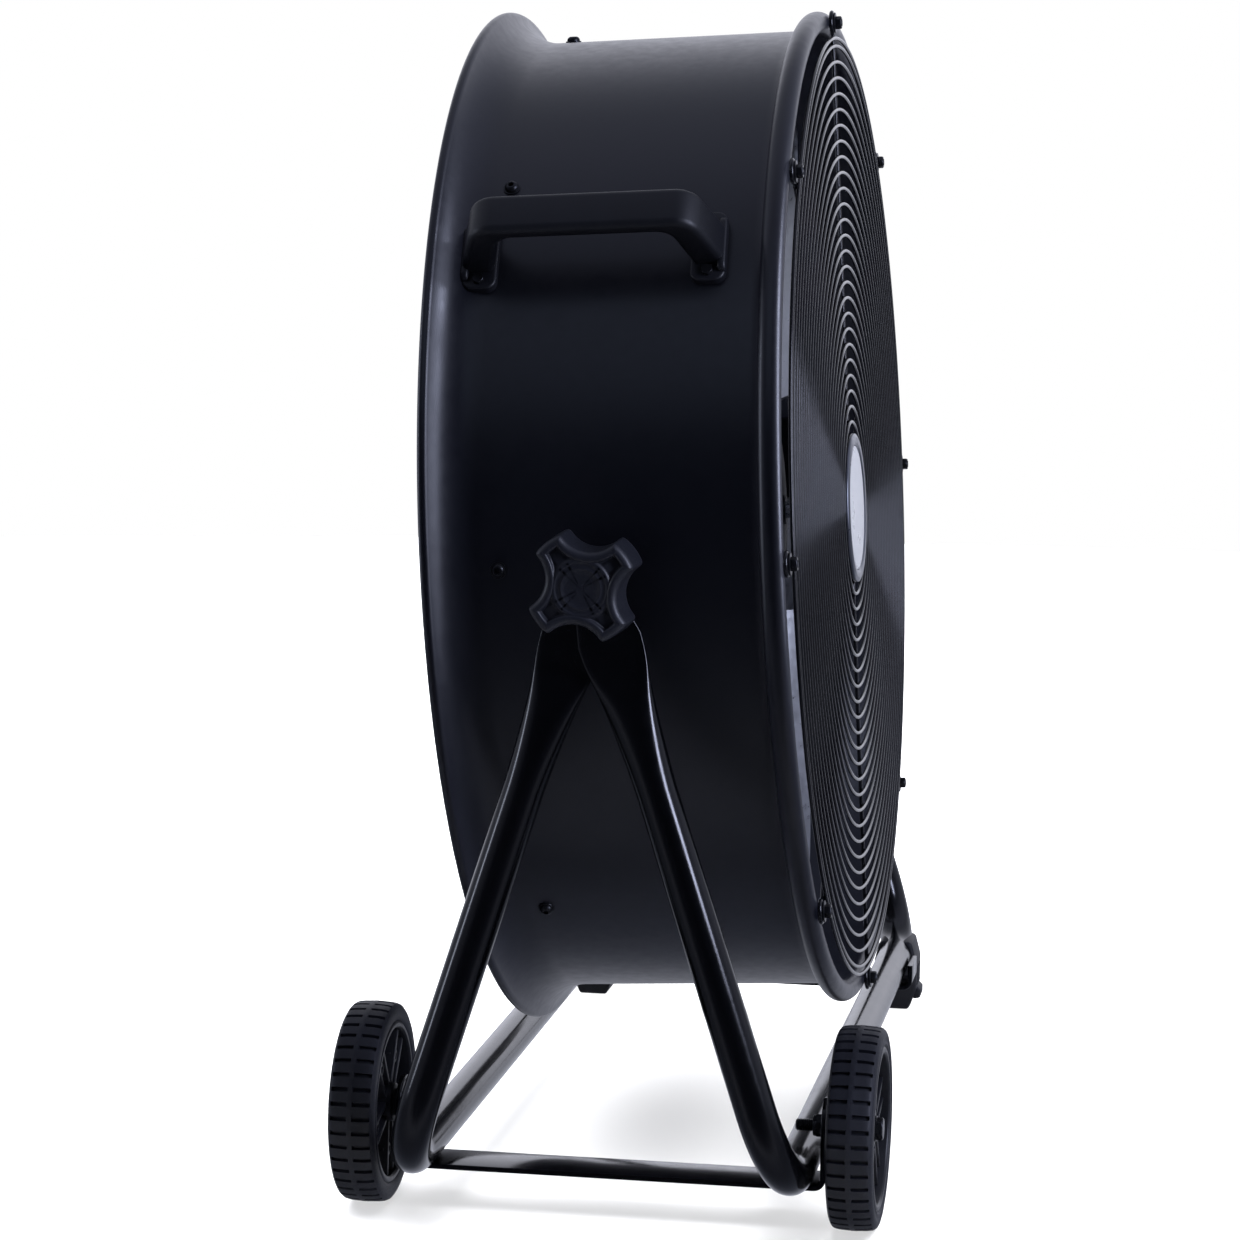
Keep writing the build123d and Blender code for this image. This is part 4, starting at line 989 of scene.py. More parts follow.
# ---------------------------------------------------------------------------
# Radial screws of the rear guard, seen outside the drum
# ---------------------------------------------------------------------------
m = M()
for k, d in enumerate(EIGHT):
    rf = rad_frame(SCREW_A, d, DRUM_R)
    f = Fr(rf.o, rf.ez, rf.ex)
    m.add(*lathe(rounded([(-0.4, 0.0), (-0.4, 5.4), (1.0, 5.4), (1.0, 0.0)], [0, 0, 0.35, 0], 2, False), 32, f, closed=False))
    # button head with a hexagon socket
    n = 36
    ph = 0.4 + k
    th = np.arange(n) * 2 * pi / n
    rows = [(0.95, np.full(n, 4.4)), (1.7, np.full(n, 4.42)), (2.7, np.full(n, 4.1)), (3.5, np.full(n, 3.5)), (4.0, np.full(n, 2.7)), (4.1, np.full(n, 2.3))]
    sr = 1.75 / np.cos((th - ph) % (pi / 3) - pi / 6)
    rows += [(4.05, sr), (2.2, sr * 0.97), (2.1, sr * 0.2)]
    V = np.concatenate([np.column_stack([np.full(n, x), r * np.cos(th), r * np.sin(th)]) for x, r in rows])
    F = [(i * n + j, i * n + (j + 1) % n, (i + 1) * n + (j + 1) % n, (i + 1) * n + j) for i in range(len(rows) - 1) for j in range(n)]
    F += [tuple(reversed(range(n))), tuple((len(rows) - 1) * n + j for j in range(n))]
    m.add(f(V), F)
piece("drum_side_screws", m, "drum", MAT["dark_screw"], ("rear_guard_screws",), sharp=32)

# ---------------------------------------------------------------------------
# Straps, feet
# ---------------------------------------------------------------------------
def rrect(hw, ht, r, n=3):
    return rounded([(-hw, -ht), (hw, -ht), (hw, ht), (-hw, ht)], r, n)


def strap(sg, nm):
    zt = BASE_Z - TUBE_R
    hi = 64.5 if sg < 0 else 46.0
    x = STRAP_END - STRAP_T / 2
    z = zt - STRAP_T / 2
    pts = [(-x, sg * STRAP_Y, hi), (-x, sg * STRAP_Y, z), (x, sg * STRAP_Y, z), (x, sg * STRAP_Y, hi)]
    path = list(fillet_path(pts, [5.75, 5.75], 1.2))
    w = [STRAP_W / 2] * len(path)
    if sg < 0:
        tip = [(cos(t) * 18.0, sin(t) * 18.0) for t in np.linspace(0, radians(86), 14)[1:]]
        top0 = [np.array([-x, sg * STRAP_Y, hi + zz]) for _, zz in tip][::-1]
        top1 = [np.array([x, sg * STRAP_Y, hi + zz]) for _, zz in tip]
        w = [ww for ww, _ in tip][::-1] + w + [ww for ww, _ in tip]
        path = top0 + path + top1
    ht = STRAP_T / 2
    m = M()
    m.add(*sweep(np.array(path), lambda i, s: rrect(ht, max(w[i], 1.0), 0.7, 3), up=np.array([0, 1.0, 0])))
    piece(nm + "_cross_strap", m, "frame", MAT["frame_paint"], (nm + "_strap",), sharp=35)


strap(-1, "near")
strap(1, "far")


def foot(sx, nm):
    fr = Fr((sx * BASE_X, 304, 0), (0, 1, 0), (1, 0, 0))    # x along +Y, y = +X, z = ... down
    # (y, z) of the frame: y along X, z = x cross y = -Z
    prof = [(-10.5, 0), (10.5, 0), (12.5, -4), (16.6, -16), (16.6, -38), (12.5, -54), (-12.5, -54), (-16.6, -38), (-16.6, -16), (-12.5, -4)]
    prof = rounded(prof, [2.5, 2.5, 3, 5, 8, 4, 4, 8, 5, 3], 5)
    m = M()
    m.add(*prism(prof, fr, 0, 38, cham=2.2, cham_lo=2.2, steps=4))
    # small moulded ear outside and three ribs on the sides
    ear = rounded([(13.0, -6.5), (19.6, -8.0), (19.6, -14.5), (14.5, -19.0)], 1.8, 4)
    if sx < 0:
        ear = [(-a, b) for a, b in ear][::-1]
    m.add(*prism(ear, fr, 8, 30, cham=1.2, cham_lo=1.2, steps=3))
    for q in (8, 17, 26):
        rib = rounded([(-17.3, -18), (17.3, -18), (17.3, -34), (-17.3, -34)], 1.0, 2)
        m.add(*prism(rib, fr, q, q + 3.0, cham=0.7, cham_lo=0.7, steps=2))
    piece(nm + "_saddle_foot", m, "frame", MAT["foot_rubber"], (nm + "_foot",), sharp=40)


foot(-1, "rear")
foot(1, "front")

# ---------------------------------------------------------------------------
# Wheels
# ---------------------------------------------------------------------------
def wheel(sx, nm):
    fr = Fr((sx * WHEEL_X, -STRAP_Y, WHEEL_R), (sx, 0, 0), (0, 1, 0))    # x outwards
    hw = WHEEL_W / 2
    N = 43                                    # cross slots round the tread
    m = M()
    # across: (x, radius, slot depth there)
    cols = [(-hw + 1.4, 52.0, 0), (-hw + 0.5, 53.0, 0), (-hw, 54.5, 0), (-hw, 58.5, 0), (-hw + 0.35, 60.6, 0), (-hw + 0.9, 61.8, 0),
            (-hw + 1.8, 62.9, 0), (-hw + 1.81, 62.95, 1.0), (-hw + 3.4, 63.6, 1.0), (-hw + 6.5, 64.05, 1.0), (-2.0, 64.35, 1.0), (-1.6, 64.45, 0),
            (1.6, 64.45, 0), (2.0, 64.35, 1.0), (hw - 6.5, 64.05, 1.0), (hw - 3.6, 63.6, 1.0), (hw - 2.4, 63.2, 1.0), (hw - 2.2, 63.0, 0), (hw - 1.2, 62.2, 0),
            (hw - 0.5, 61.0, 0), (hw, 59.0, 0), (hw, 57.6, 0), (hw - 0.5, 56.9, 0), (hw - 0.5, 54.6, 0), (hw - 0.1, 54.0, 0), (hw - 0.1, 53.2, 0), (hw - 1.4, 52.0, 0)]
    # slots on each side of the central rib, which stays unbroken
    pitch = 2 * pi / N
    half = 1.05 / 64.0                        # half a slot, radians
    offs = [(-half - 0.006, 0), (-half, 1), (half, 1), (half + 0.006, 0), (pitch / 2 - 0.02, 0), (pitch / 2 + 0.02, 0)]
    V = []
    th = []
    for k in range(N):
        for o, dpt in offs:
            t = k * pitch + o
            th.append((t, dpt))
    th.sort()
    for t, dpt in th:
        for x, r, sl in cols:
            rad = r - 2.3 * dpt * sl
            V.append((x, rad * cos(t), rad * sin(t)))
    nc = len(cols)
    F = []
    R_ = len(th)
    for i in range(R_):
        i2 = (i + 1) % R_
        for j in range(nc):
            j2 = (j + 1) % nc
            F.append((i * nc + j, i * nc + j2, i2 * nc + j2, i2 * nc + j))
    m.add(fr(np.array(V)), F)
    piece(nm + "_tread_tyre", m, nm + "_wheel", MAT["tyre_rubber"], (nm + "_wheel_tyre",), sharp=38)

    c = M()
    # rim band, rolled at both edges
    c.add(*lathe(rounded([(-hw + 1.3, 51.9), (-hw + 0.3, 50.6), (-hw + 0.3, 48.6), (-hw + 1.6, 47.6), (-2.6, 46.6), (2.6, 46.6), (hw - 1.6, 47.6),
                          (hw - 0.3, 48.6), (hw - 0.3, 50.6), (hw - 1.3, 51.9)], 0.6, 2), 128, fr))
    # dished web
    c.add(*lathe(rounded([(-1.6, 47.2), (-2.2, 14.0), (2.0, 14.0), (1.6, 47.2)], [0.3, 1.5, 1.5, 0.3], 3), 96, fr))
    # hub
    c.add(*lathe(rounded([(-hw, 4.1), (-hw, 12.4), (-4, 13.4), (4, 13.4), (hw - 5.0, 12.4), (hw - 5.0, 4.1)], [0.4, 1.2, 0, 0, 1.4, 0.4], 3), 64, fr))
    # V pairs of spokes with a round boss between them
    for k in range(5):
        mid = radians(90 + 72 * k)
        for s in (-1, 1):
            a_in, a_out = mid + s * 0.42, mid + s * 0.16
            p0 = np.array([12.0 * cos(a_in), 12.0 * sin(a_in)])
            p1 = np.array([47.4 * cos(a_out), 47.4 * sin(a_out)])
            d = (p1 - p0) / np.linalg.norm(p1 - p0)
            q = np.array([-d[1], d[0]])
            poly = [p0 - q * 1.6, p1 - q * 1.25, p1 + q * 1.25, p0 + q * 1.6]
            c.add(*prism(poly, fr, -hw + 3.0, hw - 4.6, cham=0.7, cham_lo=0.7, steps=3))
        b = Fr(fr(np.array([[0, 31.5 * cos(mid), 31.5 * sin(mid)]]))[0], fr.ex, fr.ey)
        c.add(*lathe(rounded([(-hw + 4.2, 2.3), (-hw + 4.2, 4.6), (hw - 6.2, 4.6), (hw - 6.2, 2.3)], [0.4, 0.9, 0.9, 0.4], 3), 28, b))
        # bars from the bosses to the spokes
        for s in (-1, 1):
            a2 = mid + s * 0.27
            p0 = np.array([31.5 * cos(mid), 31.5 * sin(mid)])
            p1 = np.array([31.0 * cos(a2), 31.0 * sin(a2)])
            d = (p1 - p0) / np.linalg.norm(p1 - p0)
            q = np.array([-d[1], d[0]])
            p0 = p0 + d * 3.8
            poly = [p0 - q * 0.9, p1 - q * 0.9, p1 + q * 0.9, p0 + q * 0.9]
            c.add(*prism(poly, fr, -hw + 6.0, hw - 8.0, cham=0.4, cham_lo=0.4, steps=2))
    piece(nm + "_spoked_core", c, nm + "_wheel", MAT["wheel_plastic"], (nm + "_wheel_core",), sharp=38)


wheel(-1, "rear")
wheel(1, "front")


def thread(x0, x1, r, pitch=1.25, depth=0.65):
    """A thread's outline as (along, radius) pairs."""
    out, x = [], x0
    while x + pitch <= x1:
        out += [(x, r - depth), (x + 0.4 * pitch, r), (x + 0.6 * pitch, r)]
        x += pitch
    return out + [(x1, r - depth)]


b, nts, ws = M(), M(), M()
for sx in (-1, 1):
    fr = Fr((0, -STRAP_Y, WHEEL_R), (sx, 0, 0), (0, 1, 0))
    xh = WHEEL_X - WHEEL_W / 2 + 24.9
    b.add(*lathe([(117.5, 0.0), (117.5, 3.0)] + thread(118.0, 136.0, 4.0) + [(136.3, 4.0), (xh + 0.2, 4.0), (xh + 0.2, 0.0)], 32, fr, closed=False))
    b.add(*hex_head(fr, xh, xh + 5.3, 12.9, 0.2, crown=0.2))
    b.add(*lathe([(xh - 0.1, 4.2), (xh - 0.1, 8.2), (xh + 0.9, 8.2), (xh + 1.2, 6.0), (xh + 1.2, 4.2)], 40, fr))
    nts.add(*hex_head(fr, 135.2, 129.6, 13.0, 0.5, crown=0.25))
    nts.add(*hex_head(fr, 129.6, 128.7, 12.6, 0.5, crown=0.9))
    ws.add(*lathe(rounded([(138.85, 4.1), (138.85, 9.0), (142.6, 9.0), (142.6, 4.1)], 0.5, 2), 40, fr))
piece("wheel_axle_bolts", b, "frame", MAT["axle_steel"], ("axle_bolts",), sharp=30)
piece("wheel_axle_nuts", nts, "frame", MAT["axle_steel"], ("axle_nuts",), sharp=30)
piece("wheel_axle_washers", ws, "frame", MAT["black_plastic"], ("axle_washers",), sharp=30)

# ---------------------------------------------------------------------------
# Rear guard
# ---------------------------------------------------------------------------
REAR_RING_A, REAR_RIB_A, REAR_RIB_R = -93.75, -90.0, 2.25
m = M()
for i in range(16):
    R_ = 96 + 15.0 * i
    m.add(*torus(DRUM, REAR_RING_A, R_, 1.5, seg=max(96, int(R_ * 0.8)), n=10))
piece("rear_guard_wire_rings", m, "drum", MAT["guard_wire"], ("rear_guard_rings",), sharp=180)
m = M()
TAB_R = DRUM_R - WALL - REAR_RIB_R
for d in EIGHT:
    f = face_frame(0, d, 0)
    pts = [f([[REAR_RIB_A, 58, 0]])[0], f([[REAR_RIB_A, TAB_R, 0]])[0], f([[SCREW_A - 6, TAB_R, 0]])[0]]
    m.add(*sweep(fillet_path(pts, [8.0], 2.0), ring_pts(REAR_RIB_R, 14), up=np.cross(AX, rad_dir(d))))
    rf = rad_frame(SCREW_A, d, DRUM_R - WALL - 3.0)
    tf = Fr(rf.o, rf.ez, rf.ex)
    slot = [(4 * s_ + 6 * cos(t), 6 * sin(t)) for s_, r0 in ((1, -pi / 2), (-1, pi / 2)) for t in np.linspace(r0, r0 + pi, 12)]
    m.add(*prism(slot, tf, 0, 2.6, cham=0.5, cham_lo=0.5, steps=2))
piece("rear_guard_wire_ribs", m, "drum", MAT["guard_wire"], ("rear_guard_ribs",), sharp=60)

# ---------------------------------------------------------------------------
# Motor: pressed plate, rear cap, finned housing, front cap
# ---------------------------------------------------------------------------
PLATE_A = REAR_RIB_A + REAR_RIB_R
MOT_A0 = PLATE_A + 3
MOT_R = 70.0
m = M()
m.add(*lathe(rounded([(PLATE_A, 20.0), (PLATE_A, 84.0), (PLATE_A + 3, 84.0), (PLATE_A + 3, 20.0)], 0.6, 2), 160, DRUM))
piece("motor_carrier_plate", m, "drum", MAT["frame_paint"], ("motor_plate",), sharp=35)
m = M()
prof = [(MOT_A0, 14.05), (MOT_A0, 20.0), (MOT_A0 + 0.05, 20.1), (MOT_A0 + 0.05, 67.5), (MOT_A0 + 2.0, 69.6), (MOT_A0 + 15.9, 70.0), (MOT_A0 + 15.9, 47.9), (MOT_A0 + 6, 47.9), (MOT_A0 + 6, 19.1), (MOT_A0 + 15.9, 19.1), (MOT_A0 + 15.9, 14.05)]
m.add(*lathe(prof, 128, DRUM))
piece("motor_rear_shield", m, "drum", MAT["motor_paint"], ("motor_rear_cap",), sharp=35)
m = M()
m.add(*lathe([(MOT_A0 + 16, 66), (MOT_A0 + 16, 70), (MOT_A0 + 82, 70), (MOT_A0 + 82, 66)], 144, DRUM))
for k in range(24):
    t = radians(15 * k)
    o = drum_pt(MOT_A0 + 22, 0, 0)
    out = -YY * cos(t) + UP * sin(t)
    tn = np.cross(AX, out)
    m.add(*prism(rounded([(69.2, -1.2), (72.3, -0.9), (72.3, 0.9), (69.2, 1.2)], [0, 0.6, 0.6, 0], 2), Fr(o, AX, out), 0, 54, cham=0.6, cham_lo=0.6, steps=2))
piece("motor_finned_case", m, "drum", MAT["motor_paint"], ("motor_housing",), sharp=35)
m = M()
q = MOT_A0 + 82
prof = [(q + 0.05, 14.05), (q + 0.05, 19.0), (q + 10, 19.1), (q + 10, 47.9), (q + 0.05, 47.9), (q + 0.05, 70.0), (q + 9, 69.8), (q + 13.2, 67.5), (q + 15.6, 62.5), (q + 15.9, 58.0),
        (q + 15.2, 56.5), (q + 15.2, 42.0), (q + 15.9, 40.5), (q + 15.9, 14.05)]
m.add(*lathe(prof, 128, DRUM))
piece("motor_front_shield", m, "drum", MAT["motor_paint"], ("motor_front_cap",), sharp=35)
m = M()
for k in range(4):
    f = face_frame(0, 22.5 + 90 * k, 60.0)
    f = Fr(f.o, AX, f.ey)
    m.add(*hex_head(f, PLATE_A - 0.1, PLATE_A - 3.7, 8.0, 0.4 * k, crown=0.25))
    m.add(*lathe([(PLATE_A - 0.9, 2.5), (PLATE_A - 0.9, 5.4), (PLATE_A - 0.05, 5.6), (PLATE_A - 0.05, 2.5)], 32, f))
    m.add(*lathe([(PLATE_A - 0.5, 0.0), (PLATE_A - 0.5, 2.4), (MOT_A0 + 10, 2.4), (MOT_A0 + 10, 0.0)], 16, f, closed=False))
piece("motor_plate_screws", m, "drum", MAT["zinc"], ("motor_screws",), sharp=30)

# ---------------------------------------------------------------------------
# Impeller hub and nut
# ---------------------------------------------------------------------------
m = M()
h1 = HUB_A + HUB_L
prof = [(HUB_A, 68.0), (HUB_A, 71.3), (HUB_A + 0.7, 72.0), (h1 - 5.0, 72.0), (h1 - 2.2, 71.2), (h1 - 0.6, 69.2), (h1, 66.0), (h1, 52.0), (h1 - 1.0, 50.0), (h1 - 3.6, 46.0), (h1 - 3.6, 30.0),
        (h1 - 1.0, 26.0), (h1, 24.0), (h1, 6.05), (HUB_A + 4, 6.05), (HUB_A + 4, 17.0), (h1 - 6.2, 17.0), (h1 - 6.2, 68.0)]
m.add(*lathe(prof, 144, DRUM))
piece("impeller_pressed_hub", m, "impeller", MAT["motor_paint"], ("impeller_hub",), sharp=35)
m = M()
m.add(*lathe(rounded([(h1 + 0.05, 6.1), (h1 + 0.05, 14), (h1 + 1.5, 14), (h1 + 1.5, 6.1)], 0.3, 2), 48, DRUM))
m.add(*hex_head(DRUM, h1 + 1.55, h1 + 8.5, 19.05, 0.3, crown=0.2))
piece("impeller_shaft_nut", m, "impeller", MAT["dark_screw"], ("impeller_nut",), sharp=30)

# ---------------------------------------------------------------------------
# Switch box, speed knob, gland and conduit
# ---------------------------------------------------------------------------
BOX_Y, BOX_U, BOX_A = 194.3, -2.0, REAR_RIB_A + REAR_RIB_R + 0.1
bf = Fr(drum_pt(0, BOX_Y, BOX_U), AX, YY)          # z = AX x Y = up
box2 = lambda w, h, r, n=6: rounded([(-w / 2, -h / 2), (w / 2, -h / 2), (w / 2, h / 2), (-w / 2, h / 2)], r, n)
m = M()
m.add(*prism(box2(88, 66, 8), bf, BOX_A, BOX_A + 3.2, cham=0.3, cham_lo=1.6, steps=4))
m.add(*prism(box2(87.2, 65.2, 7.6), bf, BOX_A + 3.3, BOX_A + 4.0, cham=0.0, cham_lo=0.0))
m.add(*prism(box2(88, 66, 8), bf, BOX_A + 4.1, BOX_A + 38, cham=2.5, cham_lo=0.3, steps=4))
# raised dial plate round the speed knob
kc = (14.0, 12.0)
kf = Fr(drum_pt(0, BOX_Y + kc[0], BOX_U + kc[1]), AX, YY)
m.add(*lathe(rounded([(BOX_A - 0.01, 5.4), (BOX_A - 0.7, 5.6), (BOX_A - 0.7, 19.2), (BOX_A + 0.3, 19.6), (BOX_A + 0.3, 5.4)], 0.2, 2), 72, kf))
piece("switch_housing", m, "drum", MAT["black_plastic"], ("switch_box",), sharp=35)
m = M()
for yy, zz in ((-37, -26), (37, -26), (-37, 26), (37, 26)):
    f = Fr(drum_pt(0, BOX_Y + yy, BOX_U + zz), AX, YY)
    m.add(*lathe([(BOX_A + 1.0, 0.0), (BOX_A + 1.0, 3.2), (BOX_A - 0.4, 3.2), (BOX_A - 1.3, 2.4), (BOX_A - 1.5, 1.2), (BOX_A - 0.9, 0.9), (BOX_A - 0.9, 0.0)], 28, f, closed=False))
piece("switch_cover_screws", m, "drum", MAT["dark_screw"], sharp=35)

KN_A = REAR_RING_A - 1.5 - 1.2
m = M()
m.add(*lathe([(KN_A + 0.3, 0.0), (KN_A + 0.3, 16.2), (KN_A - 0.4, 17.0), (KN_A - 2.4, 17.0), (KN_A - 3.0, 16.4), (KN_A - 3.1, 15.2), (KN_A - 12.2, 14.3), (KN_A - 13.0, 13.4), (KN_A - 13.0, 0.0)], 84, kf, closed=False))
for k in range(18):
    t = radians(20 * k)
    f = Fr(kf.o + YY * 14.75 * cos(t) + UP * 14.75 * sin(t), AX, YY)
    m.add(*lathe([(KN_A - 3.0, 0.0), (KN_A - 3.0, 0.9), (KN_A - 12.0, 0.7), (KN_A - 12.4, 0.0)], 10, f, closed=False))
gr = [(4.0 * cos(t), 10.4 * s_ + 4.0 * sin(t)) for s_, r0 in ((1, 0.0), (-1, pi)) for t in np.linspace(r0, r0 + pi, 10)]
m.add(*prism(gr, kf, KN_A - 17.0, KN_A - 12.5, cham=0.0, cham_lo=1.3, steps=4))
m.add(*lathe([(KN_A + 0.2, 0.0), (KN_A + 0.2, 3.0), (BOX_A + 16, 3.0), (BOX_A + 16, 0.0)], 20, kf, closed=False))
piece("speed_dial", m, "speed_knob", MAT["knob_plastic"], ("speed_knob",), sharp=35)
m = M()
m.add(*prism(rounded([(-0.7, 5.0), (0.7, 5.0), (0.7, 12.6), (-0.7, 12.6)], 0.3, 2), kf, KN_A - 17.25, KN_A - 16.9, cham=0.1, cham_lo=0.1))
piece("speed_dial_line", m, "speed_knob", MAT["badge_silver"], sharp=35)

gf = Fr(drum_pt(0, 207.34, -22.0), AX, YY)
m = M()
pr = [(BOX_A - 0.02, 5.0), (BOX_A - 0.02, 7.0)]
x = BOX_A + 0.6
while x + 1.5 < BOX_A + 15.5:
    pr += [(x, 6.3), (x + 0.6, 7.0), (x + 0.9, 7.0), (x + 1.5, 6.3)]
    x += 1.5
pr += [(BOX_A + 16.1, 6.3), (BOX_A + 16.1, 5.0)]
m.add(*lathe(pr, 40, gf))
m.add(*lathe(rounded([(BOX_A - 0.05, 4.25), (BOX_A - 0.05, 8.9), (BOX_A - 1.0, 9.3), (BOX_A - 1.0, 4.25)], 0.3, 2), 48, gf))
m.add(*hex_head(gf, BOX_A - 0.9, BOX_A - 3.2, 16.4, 0.3, crown=0.2))
NUT_A = REAR_RING_A - 1.5 - 0.8
m.add(*lathe(rounded([(BOX_A - 3.1, 4.05), (BOX_A - 3.1, 7.4), (BOX_A - 3.8, 6.4), (BOX_A - 3.9, 5.5), (NUT_A + 0.05, 5.45), (NUT_A + 0.05, 4.05)], 0.15, 2), 48, gf))
m.add(*hex_head(gf, NUT_A, NUT_A - 5.9, 14.8, 0.35, crown=0.2))
m.add(*lathe(rounded([(NUT_A - 5.8, 4.25), (NUT_A - 5.8, 6.75), (NUT_A - 7.3, 6.5), (NUT_A - 8.0, 5.6), (NUT_A - 8.0, 4.25)], 0.3, 3), 48, gf))
m.add(*hex_head(gf, BOX_A + 2.6, BOX_A + 6.4, 15.4, 0.1, crown=0.15))
piece("cable_entry_gland", m, "drum", MAT["black_plastic"], ("cable_gland",), sharp=35)

cf = Fr(drum_pt(BOX_A + 19, MOT_R + 1.5, BOX_U), YY, AX)
L_ = BOX_Y - 44 + 4 - MOT_R - 1.5
pr = [(0.0, 0.0), (0.0, 4.3)]
x = 0.4
while x + 2.4 < L_:
    pr += [(x, 4.35), (x + 0.5, 5.0), (x + 1.3, 5.0), (x + 1.8, 4.35)]
    x += 2.4
pr += [(L_, 4.3), (L_, 0.0)]
m = M().add(*lathe(pr, 28, cf, closed=False))
piece("motor_lead_sleeve", m, "drum", MAT["black_plastic"], ("motor_lead_conduit",), sharp=50)

# ---------------------------------------------------------------------------
# Floor, light, camera
# ---------------------------------------------------------------------------
def floor():
    n = 96
    pts = [(0.1 + 3.4 * cos(2 * pi * k / n), 1.45 + 2.05 * sin(2 * pi * k / n), 0.0) for k in range(n)]
    me = bpy.data.meshes.new("floor")
    me.from_pydata(pts, [], [tuple(range(n))])
    ob = bpy.data.objects.new("floor", me)
    bpy.context.scene.collection.objects.link(ob)
    m, nt, b = new_mat("floor_pale")
    v = coords(nt)
    n = noise(nt, v, 3.0, 3.0)
    nt.links.new(mixcol(nt, n, (0.86, 0.86, 0.865), (0.90, 0.90, 0.90)), b.inputs["Base Color"])
    nt.links.new(maprange(nt, n, 0.3, 0.7, 0.75, 0.9), b.inputs["Roughness"])
    b.inputs["Specular IOR Level"].default_value = 0.1
    me.materials.append(m)
    ob.visible_glossy = False
    return ob


FLOOR = floor()

yaw, pitch, roll = 0.1753829982548777, -0.13624952986435496, -0.008695298225829201
FWD = (-sin(yaw), cos(yaw), 0.0)

w = bpy.data.worlds.new("studio")
bpy.context.scene.world = w
w.use_nodes = True
nt = w.node_tree
for n in list(nt.nodes):
    nt.nodes.remove(n)
wo = nt.nodes.new("ShaderNodeOutputWorld")
tc = nt.nodes.new("ShaderNodeTexCoord")
dot = nt.nodes.new("ShaderNodeVectorMath")
dot.operation = "DOT_PRODUCT"
dot.inputs[1].default_value = FWD
nt.links.new(tc.outputs["Generated"], dot.inputs[0])
tt = maprange(nt, dot.outputs["Value"], -1.0, 1.0, 0.0, 1.0)
sky = ramp(nt, tt, [(0.0, (0.016, 0.018, 0.028)), (0.15, (0.034, 0.038, 0.058)), (0.30, (0.145, 0.158, 0.220)), (0.50, (0.355, 0.375, 0.50)),
                    (0.62, (0.40, 0.42, 0.55)), (0.74, (0.29, 0.31, 0.385)), (0.85, (0.44, 0.46, 0.55)), (0.95, (1.22, 1.24, 1.40))])
low = ramp(nt, tt, [(0.0, (0.016, 0.018, 0.028)), (0.13, (0.050, 0.054, 0.080)), (0.25, (0.23, 0.24, 0.31)), (0.37, (0.13, 0.14, 0.19)),
                    (0.54, (0.090, 0.098, 0.135)), (0.66, (0.11, 0.12, 0.165)), (0.80, (0.165, 0.18, 0.235)), (0.95, (0.62, 0.64, 0.74))])
sz = nt.nodes.new("ShaderNodeSeparateXYZ")
nt.links.new(tc.outputs["Generated"], sz.inputs[0])
grad = mixcol(nt, maprange(nt, sz.outputs["Z"], -0.18, 0.12, 0.0, 1.0), low, sky)
bg = nt.nodes.new("ShaderNodeBackground")
nt.links.new(grad, bg.inputs["Color"])
bg.inputs["Strength"].default_value = 1.0
bgc = nt.nodes.new("ShaderNodeBackground")
bgc.inputs["Color"].default_value = (1, 1, 1, 1)
bgc.inputs["Strength"].default_value = 1.0
lp = nt.nodes.new("ShaderNodeLightPath")
mx = nt.nodes.new("ShaderNodeMixShader")
nt.links.new(lp.outputs["Is Camera Ray"], mx.inputs[0])
nt.links.new(bg.outputs[0], mx.inputs[1])
nt.links.new(bgc.outputs[0], mx.inputs[2])
nt.links.new(mx.outputs[0], wo.inputs[0])


def area(name, loc, target, size, radiance, col=(1, 1, 1), only=None, but=None, shade=True, shine=False):
    L = bpy.data.lights.new(name, "AREA")
    L.shape = "RECTANGLE"
    L.size, L.size_y = size
    L.energy = radiance * pi * size[0] * size[1]
    L.color = col
    ob = bpy.data.objects.new(name, L)
    ob.location = loc
    ob.rotation_mode = "QUATERNION"
    ob.rotation_quaternion = (Vector(target) - Vector(loc)).to_track_quat("-Z", "Y")
    ob.visible_camera = False
    bpy.context.scene.collection.objects.link(ob)
    if only is not None:
        c = bpy.data.collections.new(name + "_targets")
        for o in only:
            c.objects.link(o)
        ob.light_linking.receiver_collection = c
        if not shade:
            b = bpy.data.collections.new(name + "_blockers")
            b.objects.link(FLOOR)
            ob.light_linking.blocker_collection = b
        ob.visible_glossy = shine
    if but is not None:
        c = bpy.data.collections.new(name + "_spared")
        for o in but:
            c.objects.link(o)
        for q in c.collection_objects:
            q.light_linking.link_state = "EXCLUDE"
        ob.light_linking.receiver_collection = c
    return ob


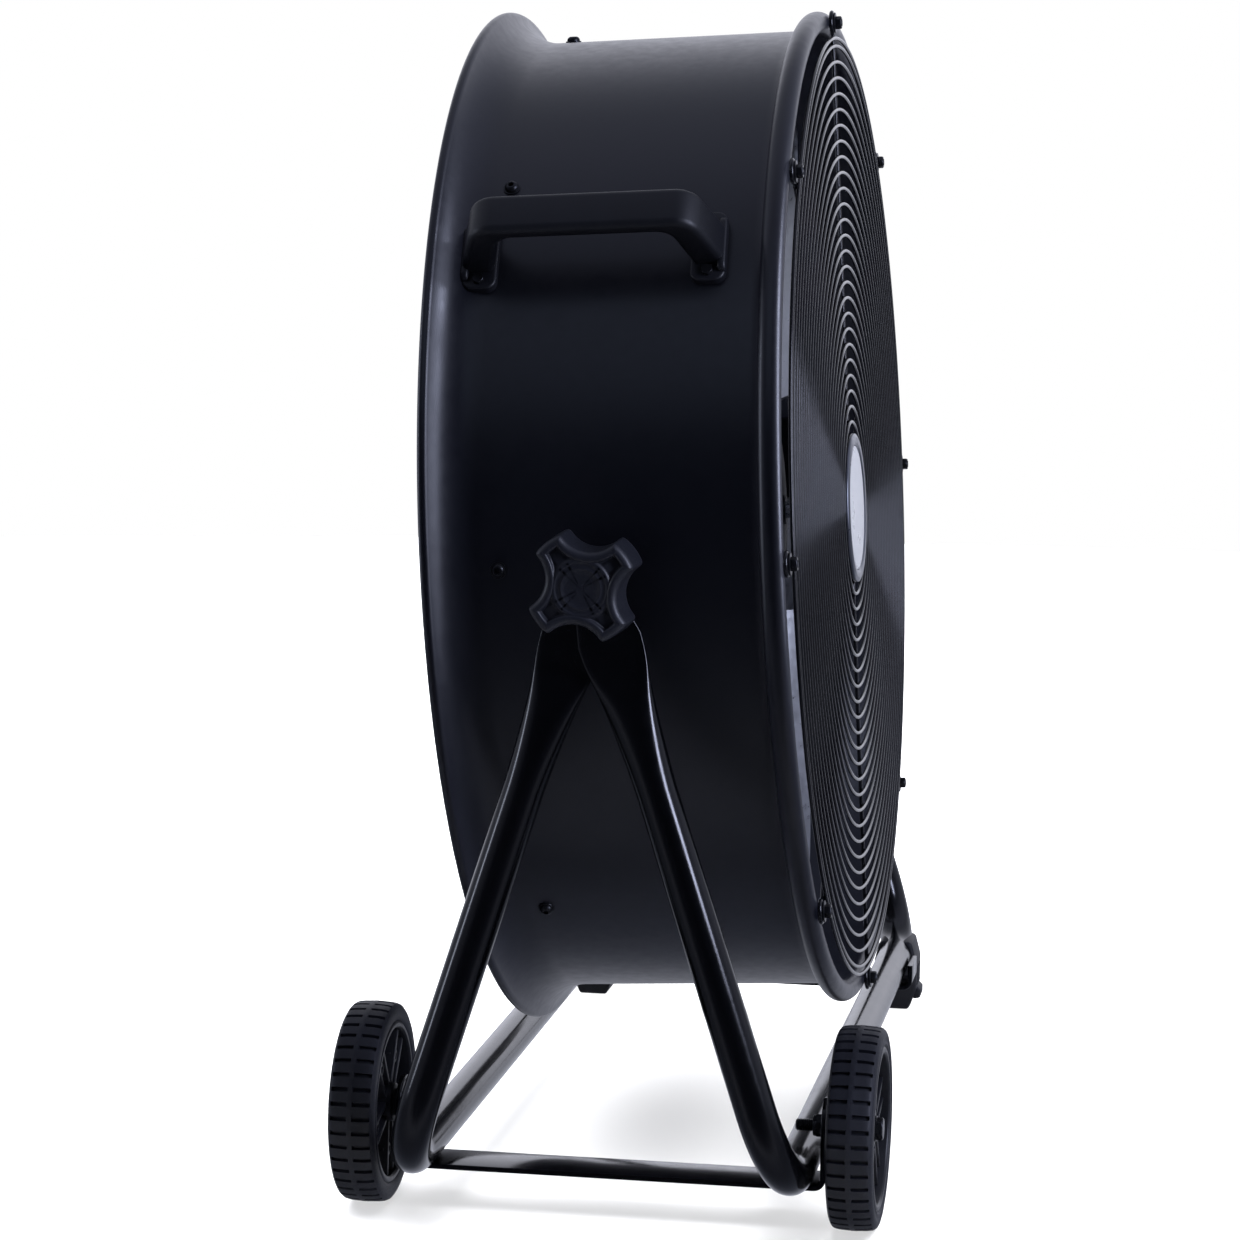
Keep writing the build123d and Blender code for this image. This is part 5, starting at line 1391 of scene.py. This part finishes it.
# tall soft box at the right, a dim panel at the left, two strips for the drum's lips, and overhead ones that only the floor takes
SHELL = bpy.data.objects["drum_shell_skin"]
area("key_right", (1.46, -0.93, 0.965), (0.02, -0.36, 0.56), (0.38, 1.14), 19.0, (0.70, 0.75, 1.0), but=[FLOOR, SHELL])
area("lip_right", (1.60, 0.04, 0.94), (-0.10, -0.36, 0.60), (0.46, 1.30), 16.0, (0.70, 0.75, 1.0), only=[SHELL], shade=False, shine=True)
area("fill_left", (-1.9, -0.62, 0.62), (0.0, -0.36, 0.50), (0.24, 1.1), 6.0, (0.76, 0.83, 1.0), but=[FLOOR, SHELL])
area("lip_left", (-1.9, -0.36, 0.66), (0.0, -0.36, 0.55), (0.26, 1.3), 7.0, (0.74, 0.80, 1.0), only=[SHELL], shade=False, shine=True)
area("shell_fill", (0.1, -2.0, 2.3), (0.0, -0.3, 0.6), (2.2, 1.5), 0.40, (0.62, 0.72, 1.0), only=[SHELL], shine=True)
area("over_floor", (0.1, 0.9, 2.3), (0.1, 0.8, 0.0), (6.0, 5.0), 4.6, only=[FLOOR], shade=False)
area("over_floor_soft", (0.1, 0.2, 2.6), (0.1, 0.3, 0.0), (3.0, 3.0), 0.7, only=[FLOOR])

cam = bpy.data.cameras.new("camera")
cam.sensor_width = 36.0
cam.lens = 36.0 * 3707.77 / 1240.0
cam.clip_start, cam.clip_end = 0.05, 100
co = bpy.data.objects.new("camera", cam)
bpy.context.scene.collection.objects.link(co)
Rz = np.array([[cos(yaw), -sin(yaw), 0], [sin(yaw), cos(yaw), 0], [0, 0, 1]])
Rx = np.array([[1, 0, 0], [0, cos(pitch), -sin(pitch)], [0, sin(pitch), cos(pitch)]])
Ry = np.array([[cos(roll), 0, sin(roll)], [0, 1, 0], [-sin(roll), 0, cos(roll)]])
R = Rz @ Rx @ Ry
co.matrix_world = Matrix(((R[0, 0], R[0, 2], -R[0, 1], 0.40325), (R[1, 0], R[1, 2], -R[1, 1], -2.54298), (R[2, 0], R[2, 2], -R[2, 1], 0.69849), (0, 0, 0, 1)))
bpy.context.scene.camera = co
bpy.context.scene.view_settings.view_transform = "Standard"
